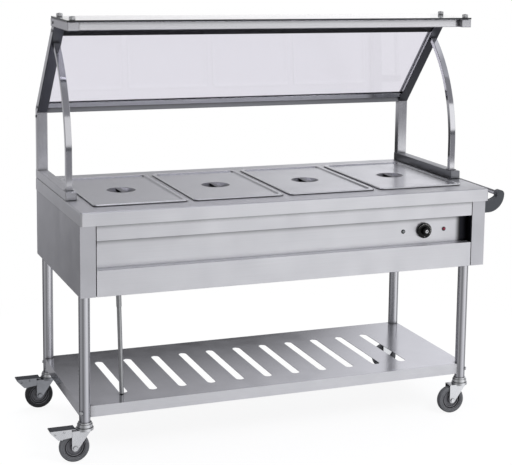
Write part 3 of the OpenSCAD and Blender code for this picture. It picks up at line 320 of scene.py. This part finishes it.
# the glass sheets' ground edges, painted dark for the dark they show as they see only the inside of the
# sheet
glass_edge = moulded("ground_glass_edge_painted_dark", "24262A", 0.30, 0.5, 0.01, 0.05)
knob_plastic = moulded("black_phenolic", "050506", 0.36, 0.7, 0.004, 0.05, 0.0, 0.0, 1.35)
gland_plastic = moulded("matt_black_nylon", "1B1B1D", 0.55, 0.6, 0.03)
thermostat_plastic = moulded("dark_bakelite", "2A2A2D", 0.5, 0.8, 0.03)
print_white = moulded("white_printed_ink", "E6E6E4", 0.45, 0.5, 0.005, 0.03)
knob_cap = steel("spun_aluminium_cap", "D9DADC", 0.22, 0.5, 12, "X", 0.01, 0.03, 0.05)
clear_lens = moulded("grey_acrylic_lens", "A9ADAE", 0.12, 3.0, 0.01, 0.06, 0.0, 0.6, 1.49)
red_lens = moulded("red_acrylic_lens", "B3455C", 0.12, 3.0, 0.01, 0.10, 0.0, 0.6, 1.49)
lamp_ring = moulded("dark_chromed_lamp_ring", "242427", 0.25, 1.0, 0.005, 0.05, 1.0)
red_ring = moulded("dark_red_lamp_ring", "3C1420", 0.3, 1.0, 0.005, 0.05)
bracket_paint = moulded("slate_powder_coat", "54575C", 0.42, 1.1, 0.05, 0.05)
channel_paint = moulded("black_coated_channel", "1C1C20", 0.38, 1.0, 0.03)
tyre_rubber = moulded("grey_thermoplastic_tyre", "85868A", 0.55, 0.8, 0.04, 0.08)
# the rear left tyre, painted darker as shade
rear_left_tyre_shade_rubber = moulded("thermoplastic_tyre_painted_shade", "3A3A3D", 0.55, 0.8, 0.04, 0.08)
hub_plastic = moulded("grey_polypropylene_hub", "8C8C91", 0.42, 1.0, 0.03, 0.06)

finish_of = {
    "stainless": sheet_steel, "stainless_tube": upright_tube, "stainless_bright": drawn_steel,
    "chrome": chrome, "zinc": zinc, "pipe": pipe_metal, "glass": guard_glass,
    "knob_plastic": knob_plastic, "gland_plastic": gland_plastic, "thermostat_body": thermostat_plastic,
    "lamp_grey": clear_lens, "lamp_red": red_lens, "bracket_grey": bracket_paint,
    "channel_black": channel_paint, "tyre_rubber": tyre_rubber, "hub_plastic": hub_plastic,
    "element_metal": element_metal,
}
slot_of = {s["node"]: s["material_slot"] for s in frame["record"]["subparts"]}
body_of = {}
for body, members in frame["record"]["behaviour"]["bodies"].items():
    for member in members:
        body_of[member] = body
for name, solid in frame["nodes"].items():
    solid.data.materials.clear()
    solid.data.materials.append(finish_of[slot_of[name]])


# ---------------------------------------------------------------- ways of making a piece

def finished(name, bm, body, finishes, stands_for=(), crease=32, sheet=0.0):
    """Closes a bmesh into a piece that rides on a body; edges over crease degrees stay crisp,
    and a pressed skin gets its sheet's thickness, in mm, on its hidden side."""
    for face in bm.faces:
        face.smooth = True
    for edge in bm.edges:
        if len(edge.link_faces) == 2 and edge.calc_face_angle(0) > math.radians(crease):
            edge.smooth = False
    mesh = bpy.data.meshes.new(name)
    bm.to_mesh(mesh)
    bm.free()
    for finish in finishes:
        mesh.materials.append(finish)
    piece = bpy.data.objects.new(name, mesh)
    bpy.context.scene.collection.objects.link(piece)
    if sheet:
        skin = piece.modifiers.new("sheet", "SOLIDIFY")
        skin.thickness = sheet * MM
        skin.offset = -1
        skin.use_even_offset = True
    # broad flat faces keep their own direction, so roundings don't shade into them
    even = piece.modifiers.new("even", "WEIGHTED_NORMAL")
    even.keep_sharp = True
    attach(piece, body)
    if stands_for:
        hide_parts(*stands_for)


def breadth(face):
    """Rough width of a face, in mm."""
    return 2 * face.calc_area() / max(face.calc_perimeter(), 1e-9) / MM


def merged(node):
    """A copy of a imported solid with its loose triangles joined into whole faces."""
    bm = bmesh.new()
    bm.from_mesh(frame["nodes"][node].data)
    bmesh.ops.remove_doubles(bm, verts=bm.verts, dist=1e-6)
    bmesh.ops.dissolve_limit(bm, angle_limit=math.radians(0.5), verts=bm.verts, edges=bm.edges)
    return bm


def rounded(bm, width, segments=3, thin=2.2):
    """Rounds the sharp outer edges between broad faces, as folding, drawing or grinding leaves them."""
    edges = [e for e in bm.edges if len(e.link_faces) == 2 and e.is_convex
        and e.calc_face_angle(0) > math.radians(40) and min(breadth(f) for f in e.link_faces) > thin]
    if edges:
        bmesh.ops.bevel(bm, geom=edges, offset=width * MM, offset_type="OFFSET", segments=segments,
            profile=0.5, affect="EDGES", clamp_overlap=True, material=-1)
    return bm


def dressed(node, width=0.0, finish=None, segments=3, thin=2.2):
    """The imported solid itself, with its edges rounded, in place of the sharp one."""
    bm = merged(node)
    if width:
        rounded(bm, width, segments, thin)
    finished(node + "_finished", bm, body_of[node], [finish or finish_of[slot_of[node]]],
        [node])


def parted(node, bm, finishes, choose):
    """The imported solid, dressed, with one of its finishes chosen by number for every face."""
    bm.normal_update()
    for face in bm.faces:
        face.material_index = int(choose(face.normal, face.calc_center_median()))
    finished(node + "_finished", bm, body_of[node], finishes, [node])


def turned(profile, segments=48):
    """Something turned on a lathe about Z: the profile is (radius, height) pairs in mm."""
    bm = bmesh.new()
    ring = [bm.verts.new((r * MM, 0, h * MM)) for r, h in profile]
    for a, b in zip(ring, ring[1:]):
        bm.edges.new((a, b))
    bmesh.ops.spin(bm, geom=bm.verts[:] + bm.edges[:], cent=(0, 0, 0), axis=(0, 0, 1),
        angle=2 * math.pi, steps=segments, use_merge=True, use_duplicate=False)
    bmesh.ops.remove_doubles(bm, verts=bm.verts, dist=1e-6)
    bmesh.ops.recalc_face_normals(bm, faces=bm.faces)
    return bm


def fluted(profile, flutes, deep, wider_than, power, around):
    """A round grip with flutes deep mm deep wherever it is wider than a radius in mm."""
    bm, rings = bmesh.new(), []
    for reach, z in profile:
        ring = []
        for k in range(around):
            turn = 2 * math.pi * k / around
            cut = deep * max(0.0, math.cos(flutes * turn)) ** power if reach > wider_than else 0.0
            ring.append(bm.verts.new(((reach - cut) * math.cos(turn) * MM,
                (reach - cut) * math.sin(turn) * MM, z * MM)))
        rings.append(ring)
    for a, b in zip(rings, rings[1:]):
        for k in range(around):
            n = (k + 1) % around
            bm.faces.new((a[k], a[n], b[n], b[k]))
    bm.faces.new(rings[-1])
    bm.faces.new(list(reversed(rings[0])))
    bmesh.ops.recalc_face_normals(bm, faces=bm.faces)
    return bm


def block(x, y, z):
    """A bar x by y by z mm about the origin."""
    bm = bmesh.new()
    bmesh.ops.create_cube(bm, size=1, matrix=Matrix.Diagonal((x * MM, y * MM, z * MM, 1)))
    return bm


FACING = {"Y": Matrix.Rotation(-math.pi / 2, 4, "X"), "-Y": Matrix.Rotation(math.pi / 2, 4, "X")}


def put_in(whole, part, matrix=Matrix.Identity(4), finish=0):
    """Moves a part by a matrix and joins it to a whole, with one of the whole's finishes."""
    bmesh.ops.transform(part, matrix=matrix, verts=part.verts)
    for face in part.faces:
        face.material_index = finish
    carrier = bpy.data.meshes.new("carrier")
    part.to_mesh(carrier)
    whole.from_mesh(carrier)
    bpy.data.meshes.remove(carrier)
    part.free()


def at(spot, facing):
    """Stands a part made about Z on a spot, facing along an axis."""
    return Matrix.Translation(spot) @ FACING[facing]


# ---------------------------------------------------------------- cabinet

# where the ledge and the panel's end painted dark as shade begin, and where the shelf's front lip ends
LEDGE_FROM, DARK_FROM, SHELF_LIP = place(0, -330, 0).y, place(664, 0, 0), place(0, -240, 0).y

# the rolled lip is seen across its lines
parted("worktop", merged("worktop"), [sheet_steel, front_steel],
    lambda normal, middle: normal.z <= 0.8)
dressed("left_side_panel", 1.6, end_steel)
dressed("right_side_panel", 1.6, end_steel)
dressed("upper_front_strip", 0.7, front_steel)
parted("lower_front_strip", rounded(merged("lower_front_strip"), 0.7), [front_steel, ledge_steel],
    lambda normal, middle: normal.z > 0.8 and middle.y > LEDGE_FROM and middle.z > 0.6)
# the control panel; its right end and the return there are painted dark as shade
panel = merged("control_panel")
bmesh.ops.bisect_plane(panel, geom=panel.verts[:] + panel.edges[:] + panel.faces[:], plane_co=DARK_FROM,
    plane_no=(1, 0, 0), dist=1e-6)
parted("control_panel", panel, [panel_steel, shade_painted_return], lambda normal, middle: middle.x > DARK_FROM.x)
dressed("rear_panel", 0, sheet_steel)
parted("lower_shelf", rounded(merged("lower_shelf"), 1.8), [shelf_steel, front_steel],
    lambda normal, middle: normal.y < -0.7 and middle.y < SHELF_LIP)
dressed("front_legs")
dressed("rear_legs")
dressed("handle_brackets", 3.5, thin=3, segments=4)
dressed("push_tube")
dressed("drain_pipe")
dressed("drain_fitting")
dressed("shelf_bolts", 0.6, thin=0.5)
dressed("cable_gland", 0.6, thin=0.5)

# ---------------------------------------------------------------- guard

# the right base rail is painted darker as shade
parted("base_rails", rounded(merged("base_rails"), 2.2), [level_tube, right_rail_shade_tube],
    lambda normal, middle: middle.x > 0)
dressed("rear_posts", 2.2)
# the leaning tubes' undersides are painted darker as shade
parted("leaning_tubes", rounded(merged("leaning_tubes"), 2.2), [upright_tube, underside_shade_tube],
    lambda normal, middle: normal.y < -0.4 and normal.z < -0.3)
dressed("guard_bows", 2.5, bow_tube)
# the tube's upright front is painted darker as shade; the glass channel on it faces down and is polished and
# painted brighter as a highlight
parted("lower_cross_bar", rounded(merged("lower_cross_bar"), 2.0), [rail_tube, front_face_shade_bar, rim_highlight_steel],
    lambda normal, middle: 1 if normal.y < -0.9 else 2 if normal.z < -0.2 else 0)
dressed("upper_glass_channel", 0.8)
dressed("top_arms", 2.2, level_tube)
dressed("front_rail", 2.0, rail_tube)

# the glass sheets have their arrises taken off and their narrow faces ground and painted dark
GLASS_LEAN = math.radians(42)
for node, across in (("slanted_glass", Vector((0, math.cos(GLASS_LEAN), math.sin(GLASS_LEAN)))),
        ("top_glass", Vector((0, 0, 1)))):
    parted(node, rounded(merged(node), 0.6, thin=1), [guard_glass, glass_edge],
        lambda normal, middle: abs(normal.dot(across)) <= 0.9)
clamps = bmesh.new()
for x in (-730, 730):
    for y in (-171, 20):
        # fluted nut on its washers, above and below the glass
        nut = fluted([(9, 1478), (10.6, 1479), (10.8, 1487.6), (9.8, 1489.4), (8, 1489.9)],
            8, 1.5, 9.6, 0.5, 96)
        put_in(nut, turned([(0, 1489.5), (4, 1489.5), (3.6, 1490.6), (2, 1491), (0, 1491)], 24))
        put_in(nut, turned([(0, 1471), (11, 1471), (11, 1472), (4, 1472), (4, 1478.2), (0, 1478.2)], 32))
        put_in(clamps, nut, Matrix.Translation(place(x, y, 0)))
finished("clamp_knobs_turned", clamps, body_of["clamp_knobs"], [zinc],
    ["clamp_knobs"])
dressed("guard_bolts", 1.4, thin=0.5, segments=4)

# ---------------------------------------------------------------- pans and lids

def outline(w, d, r, z, steps=11):
    """A rounded rectangle about the middle, w by d mm with corners of radius r, at height z."""
    points = []
    for corner, (sx, sy) in enumerate(((1, 1), (-1, 1), (-1, -1), (1, -1))):
        for step in range(steps + 1):
            turn = math.radians(90 * corner + 90 * step / steps)
            points.append(((sx * (w / 2 - r) + r * math.cos(turn)) * MM,
                (sy * (d / 2 - r) + r * math.sin(turn)) * MM, z * MM))
    return points


def circle(r, z, count=48):
    return [(r * math.cos(2 * math.pi * k / count) * MM, r * math.sin(2 * math.pi * k / count) * MM, z * MM)
        for k in range(count)]


def pressed(loops):
    """Sheet pressed through a row of outlines of equal count, from its outer edge to its closed middle."""
    bm = bmesh.new()
    rings = [[bm.verts.new(point) for point in loop] for loop in loops]
    for outer, inner in zip(rings, rings[1:]):
        for k in range(len(outer)):
            n = (k + 1) % len(outer)
            bm.faces.new((outer[k], outer[n], inner[n], inner[k]))
    middle = bm.faces.new(rings[-1])
    bm.normal_update()
    if middle.normal.z < 0:
        bmesh.ops.reverse_faces(bm, faces=bm.faces)
    return bm


# (width, length, corner radius, height) from the turned-down edge in to the floor
LID = [(325, 530, 14, 872.6), (325, 530, 14, 873.3), (324.3, 529.3, 13.7, 874.3), (322.8, 527.8, 13, 875.2),
    (320.8, 525.8, 12.2, 875.8), (318.4, 523.4, 11.4, 876), (303, 508, 18, 876),
    (301, 506, 17.5, 875.6), (300, 505, 17, 874.8), (298.6, 503.6, 16.4, 873.4),
    (297.2, 502.2, 15.8, 872.5), (295.2, 500.2, 15.3, 872), (292, 497, 14.8, 871.9),
    (288, 493, 14, 871.9)]
# (radius, height) from the lid's floor down into the finger dish
DISH = [(54, 871.9), (51, 871.9), (49, 871.6), (46.5, 870.6), (43, 868.6), (38, 865.6), (32, 862.9),
    (25, 860.9), (17, 859.7), (9, 859.1), (4, 859)]
PAN = [(325, 530, 14, 871.3), (325, 530, 14, 871.9), (324.2, 529.2, 13.6, 872.4), (322.5, 527.5, 13, 872.5),
    (303.5, 508.5, 19, 872.5), (301.2, 506.2, 18.4, 872), (300.3, 505.3, 17.7, 870.8),
    (300.2, 505.2, 17.6, 740), (298.5, 503.5, 17, 733), (294, 499, 16, 728), (286, 491, 15, 724.6),
    (278, 483, 14, 723.5), (272, 477, 13, 723.5)]

PAN_PITCH, SHEET = 348, 0.8


def grip_strap(half_count=8, step=6.35):
    """The flat strap across a lid's dish: it arches a hair and dips into the dish's edge at both ends."""
    strap = bmesh.new()
    for along in range(-half_count, half_count + 1):
        y = along * step
        crown = 871.7 - 1.3 * (abs(along) / half_count) ** 4
        row = [strap.verts.new((x * MM, y * MM, z * MM)) for x, z in
            ((-8.4, crown - 1.7), (-8.4, crown - 0.3), (-8.0, crown), (8.0, crown), (8.4, crown - 0.3),
            (8.4, crown - 1.7))]
        if along > -half_count:
            for k in range(6):
                n = (k + 1) % 6
                strap.faces.new((last[k], last[n], row[n], row[k]))
        else:
            strap.faces.new(row)
        last = row
    strap.faces.new(last)
    bmesh.ops.recalc_face_normals(strap, faces=strap.faces)
    return strap


for number in range(1, 5):
    pan_node, lid_node = "pan_%d" % number, "lid_%d" % number
    seat = Matrix.Translation(place((number - 2.5) * PAN_PITCH, 0, 0))
    pan = pressed([outline(*level) for level in PAN])
    bmesh.ops.transform(pan, matrix=seat, verts=pan.verts)
    finished(pan_node + "_pressed", pan, body_of[pan_node], [drawn_steel], [pan_node],
        60, SHEET)
    lid = pressed([outline(*level) for level in LID] + [circle(*level) for level in DISH])
    # the dish is dull and painted darker as shade; the outer edge all round and the rear rim are polished
    # and painted brighter as highlights
    for face in lid.faces:
        middle = face.calc_center_median()
        if middle.xy.length < 51 * MM:
            face.material_index = 1
        elif abs(middle.x) > 159.2 * MM or abs(middle.y) > 261.6 * MM or middle.y > 247.6 * MM:
            face.material_index = 2
    bmesh.ops.transform(lid, matrix=seat, verts=lid.verts)
    finished(lid_node + "_pressed", lid, body_of[lid_node],
        [drawn_steel, dish_shade_steel, rim_highlight_steel], [lid_node], 60, SHEET)
    # its strap has the dish's steel, painted darker as shade
    strap = grip_strap()
    bmesh.ops.transform(strap, matrix=seat, verts=strap.verts)
    finished(lid_node + "_strap", strap, body_of[lid_node], [dish_shade_steel])

# ---------------------------------------------------------------- controls

# how far the knob stands out, and where the panel's face lies in the drawing
KNOB_LONG, PANEL_Y = 22, -303
low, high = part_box("control_knob")
knob_base = Vector(((low[0] + high[0]) / 2, low[1] + KNOB_LONG * MM, (low[2] + high[2]) / 2))
knob = turned([(0, 0), (26.8, 0), (27.8, 0.7), (28, 1.6), (27.9, 3.2), (27.2, 4.2), (26, 4.6), (15.4, 5.2),
    (14.6, 5.8), (0, 5.8)], 72)
put_in(knob, fluted([(14, 5), (13.8, 18.8), (13.4, 20.2), (12.4, 21), (10.6, 21.3)], 18, 0.55, 12.6, 1, 144))
# spun cap with a raised ring, set in the grip's face
put_in(knob, turned([(2.4, 21.0), (6.0, 21.0), (6.4, 21.3), (6.4, 21.6), (5.6, 21.9), (5.0, 21.6),
    (2.4, 21.5), (2.4, 21.0)], 48), finish=1)
# printed scale: short strokes that grow longer round the dial, and the setting mark
for k in range(13):
    stroke_len = 2.6 + 0.36 * k
    turn = math.radians(150 - 15 * k)
    put_in(knob, block(stroke_len, 1.7, 0.12), Matrix.Rotation(turn, 4, "Z")
        @ Matrix.Translation(((25.0 - stroke_len / 2) * MM, 0, 4.78 * MM)), 2)
put_in(knob, turned([(0, 0), (1.9, 0), (1.9, 0.12), (0, 0.12)], 24),
    Matrix.Translation((0, -22 * MM, 4.72 * MM)), 2)
bmesh.ops.transform(knob, matrix=at(knob_base, "-Y"), verts=knob.verts)
finished("control_knob_moulded", knob, body_of["control_knob"],
    [knob_plastic, knob_cap, print_white], ["control_knob"])

for node, lens, bezel in (("grey_lamp", clear_lens, lamp_ring), ("red_lamp", red_lens, red_ring)):
    low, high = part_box(node)
    reach = (place(0, PANEL_Y, 0)[1] - low[1]) / MM
    lamp = turned([(4.9, 0), (7.5, 0), (7.5, 0.9), (7.1, 1.7), (6.3, 2.0), (5.6, 1.9), (4.9, 1.0)], 48)
    put_in(lamp, turned([(0, 0.4), (5.0, 0.4), (4.9, 1.2), (4.2, reach * 0.62), (3.0, reach * 0.84),
        (1.5, reach * 0.95), (0, reach * 0.98)], 48), finish=1)
    spot = Vector(((low[0] + high[0]) / 2, low[1] + reach * MM, (low[2] + high[2]) / 2))
    bmesh.ops.transform(lamp, matrix=at(spot, "-Y"), verts=lamp.verts)
    finished(node + "_turned", lamp, body_of[node], [bezel, lens], [node])

# ---------------------------------------------------------------- casters

CORNERS = {"front_left": (-715, -248), "rear_left": (-715, 329), "front_right": (715, -248),
    "rear_right": (715, 329)}
# how far a wheel trails its swivel, and how high its axle is
TRAIL, AXLE_UP = 37, 51
TYRE = [(37.1, -12.6), (38.2, -13.5), (40.6, -13.6), (41.2, -13.0), (41.9, -13.0), (42.5, -13.7),
    (46.4, -13.6), (48.8, -12.2), (50.3, -9.2), (50.9, -5), (51, 0), (50.9, 5),
    (50.3, 9.2), (48.8, 12.2), (46.4, 13.6), (42.5, 13.7), (41.9, 13.0), (41.2, 13.0),
    (40.6, 13.6), (38.2, 13.5), (37.1, 12.6), (37.1, -12.6)]
for corner, (x, y) in CORNERS.items():
    # the rear left fork is painted darker as shade
    dressed("fork_" + corner, 0.6, rear_left_shade_zinc if corner == "rear_left" else zinc, thin=1)
    axle = place(x - TRAIL, y, AXLE_UP)
    tyre = turned(TYRE, 96)
    bmesh.ops.transform(tyre, matrix=at(axle, "Y"), verts=tyre.verts)
    # the rear left tyre is painted darker as shade
    finished("tyre_%s_moulded" % corner, tyre, body_of["tyre_" + corner],
        [rear_left_tyre_shade_rubber if corner == "rear_left" else tyre_rubber], ["tyre_" + corner])
    dressed("hub_" + corner, 0.6, thin=1)
for corner in ("front_left", "rear_left"):
    x, y = CORNERS[corner]
    pedal = rounded(merged("brake_" + corner), 0.5, thin=1)
    # the top plate is worn dull by shoes
    pedal.normal_update()
    for face in pedal.faces:
        face.material_index = 1 if face.normal.z > 0.6 else 0
    # rolled tip, and the rivets that hold the brake's spring
    curl = turned([(0, -21.2), (2.2, -21.2), (2.8, -20.6), (2.8, 20.6), (2.2, 21.2), (0, 21.2)], 24)
    put_in(pedal, curl, at(place(x - 119.1, y, 116.1), "Y"))
    for side in (-1, 1):
        for along, up in ((-104, 107), (-74, 112)):
            rivet = turned([(0, 0), (3.2, 0), (2.9, 0.9), (1.8, 1.5), (0, 1.7)], 20)
            put_in(pedal, rivet, at(place(x + along, y + side * 21.3, up), "Y" if side > 0 else "-Y"))
    # the rear left brake's sides are painted darker as shade
    finished("brake_%s_pressed" % corner, pedal, body_of["brake_" + corner],
        [rear_left_shade_zinc if corner == "rear_left" else zinc, worn_zinc], ["brake_" + corner])
dressed("caster_heads", 0.6, thin=1)

# ---------------------------------------------------------------- studio wall

def upright(x, y, z, width, height):
    """The matrix that stands up a square, 1 m across, and draws it out to a width and a height."""
    return (Matrix.Translation((x, y, z)) @ Matrix.Rotation(math.pi / 2, 4, "X")
        @ Matrix.Diagonal((width, height, 1, 1)))


def studio_piece(name, squares, finish):
    """A flat piece of the studio, made of squares that matrices place."""
    bm = bmesh.new()
    for square in squares:
        bmesh.ops.create_grid(bm, x_segments=1, y_segments=1, size=0.5, matrix=square)
    mesh = bpy.data.meshes.new(name)
    bm.to_mesh(mesh)
    bm.free()
    mesh.materials.append(finish)
    piece = bpy.data.objects.new(name, mesh)
    bpy.context.scene.collection.objects.link(piece)
    return piece


# The studio's flat pieces, placed and sized in metres.
WALL_Y, WALL_TOP, GAP_TOP, CARD_Y = 1.9, 1.56, 1.74, -1.2

# A wall behind the trolley that only the metal mirrors: dark low down, and brighter to the right.
grey_wall = bpy.data.materials.new("grey_studio_wall")
tree = emptied(grey_wall)
spot = add(tree, "ShaderNodeSeparateXYZ", {0: add(tree, "ShaderNodeTexCoord").outputs["Object"]})
upper = spread(tree, spot.outputs["X"], -0.4, 2.3, 0.48, 1.15, interpolation_type="SMOOTHSTEP")
# how bright the wall is low down, from its far left to its far right, 18 m apart
low_down = ramp(tree, spread(tree, spot.outputs["X"], -9.0, 9.0), [(0.278, 0.50), (0.30, 0.07),
    (0.400, 0.07), (0.411, 0.53), (0.444, 0.53), (0.470, 0.05), (0.539, 0.05), (0.553, 0.18),
    (0.581, 0.86), (1.0, 0.88)])
lower = times(tree, low_down, spread(tree, spot.outputs["Z"], 0.15, 0.65, 0.72, 1.06))
top_edge = spread(tree, spot.outputs["Z"], 0.72, 0.88, interpolation_type="SMOOTHSTEP")
band = add(tree, "ShaderNodeMix", {0: top_edge, 2: lower, 3: upper}, data_type="FLOAT")
high_up = spread(tree, spot.outputs["Z"], 1.5, 1.7)
glow = add(tree, "ShaderNodeMix", {0: high_up, 2: band.outputs[0], 3: 0.2}, data_type="FLOAT")
lit = add(tree, "ShaderNodeEmission", {"Color": hexa("F6F6FA"), "Strength": glow.outputs[0]})
add(tree, "ShaderNodeOutputMaterial", {0: lit.outputs[0]})
# its top edge lies below what the top glass mirrors; an upper wall stands past a gap that the
# top glass looks through
wall = studio_piece("studio_wall", [upright(0, WALL_Y, WALL_TOP - 9, 18, 18),
    upright(0, WALL_Y, GAP_TOP + 1, 18, 2)], grey_wall)
wall.visible_camera = wall.visible_diffuse = wall.visible_transmission = wall.visible_shadow = False

# Dark cards in front, a low and a high one at each side, that little but the bows and the right
# post mirror.
dark_card = bpy.data.materials.new("dark_studio_card")
tree = emptied(dark_card)
add(tree, "ShaderNodeOutputMaterial", {0: add(tree, "ShaderNodeEmission", {"Color": hexa("F0F0F6"),
    "Strength": 0.34}).outputs[0]})
card = studio_piece("studio_card", [upright(x, CARD_Y, z, width, height)
    for x, width in ((-0.46, 0.28), (1.42, 0.62)) for z, height in ((0.865, 0.27), (2.2, 1.0))], dark_card)
card.visible_camera = card.visible_diffuse = card.visible_transmission = card.visible_shadow = False

# ---------------------------------------------------------------- floor

# white paper sweep: it keeps the trolley's soft shadow and fades to pure white around it
paper = bpy.data.materials.new("white_paper_sweep")
tree = emptied(paper)
where = add(tree, "ShaderNodeTexCoord").outputs["Object"]
away = add(tree, "ShaderNodeVectorMath", {0: where}, operation="LENGTH")
fade = spread(tree, away.outputs["Value"], 0.9, 1.9, interpolation_type="SMOOTHSTEP")
matt = add(tree, "ShaderNodeBsdfDiffuse", {"Color": hexa("6C6C6E")})
lift = add(tree, "ShaderNodeEmission", {"Color": hexa("FFFFFF"), "Strength": 0.90})
shaded = add(tree, "ShaderNodeAddShader", {0: matt.outputs[0], 1: lift.outputs[0]})
pure = add(tree, "ShaderNodeEmission", {"Color": hexa("FFFFFF"), "Strength": 1.0})
faded = add(tree, "ShaderNodeMixShader", {0: fade, 1: shaded.outputs[0], 2: pure.outputs[0]})
rays = add(tree, "ShaderNodeLightPath")
open_air = add(tree, "ShaderNodeBsdfTransparent")
mirrored = add(tree, "ShaderNodeMixShader", {0: rays.outputs["Is Glossy Ray"], 1: matt.outputs[0],
    2: open_air.outputs[0]})
final = add(tree, "ShaderNodeMixShader", {0: by_camera(tree, rays), 1: mirrored.outputs[0],
    2: faded.outputs[0]})
add(tree, "ShaderNodeOutputMaterial", {0: final.outputs[0]})
floor = studio_piece("studio_floor", [Matrix.Diagonal((60, 60, 1, 1))], paper)
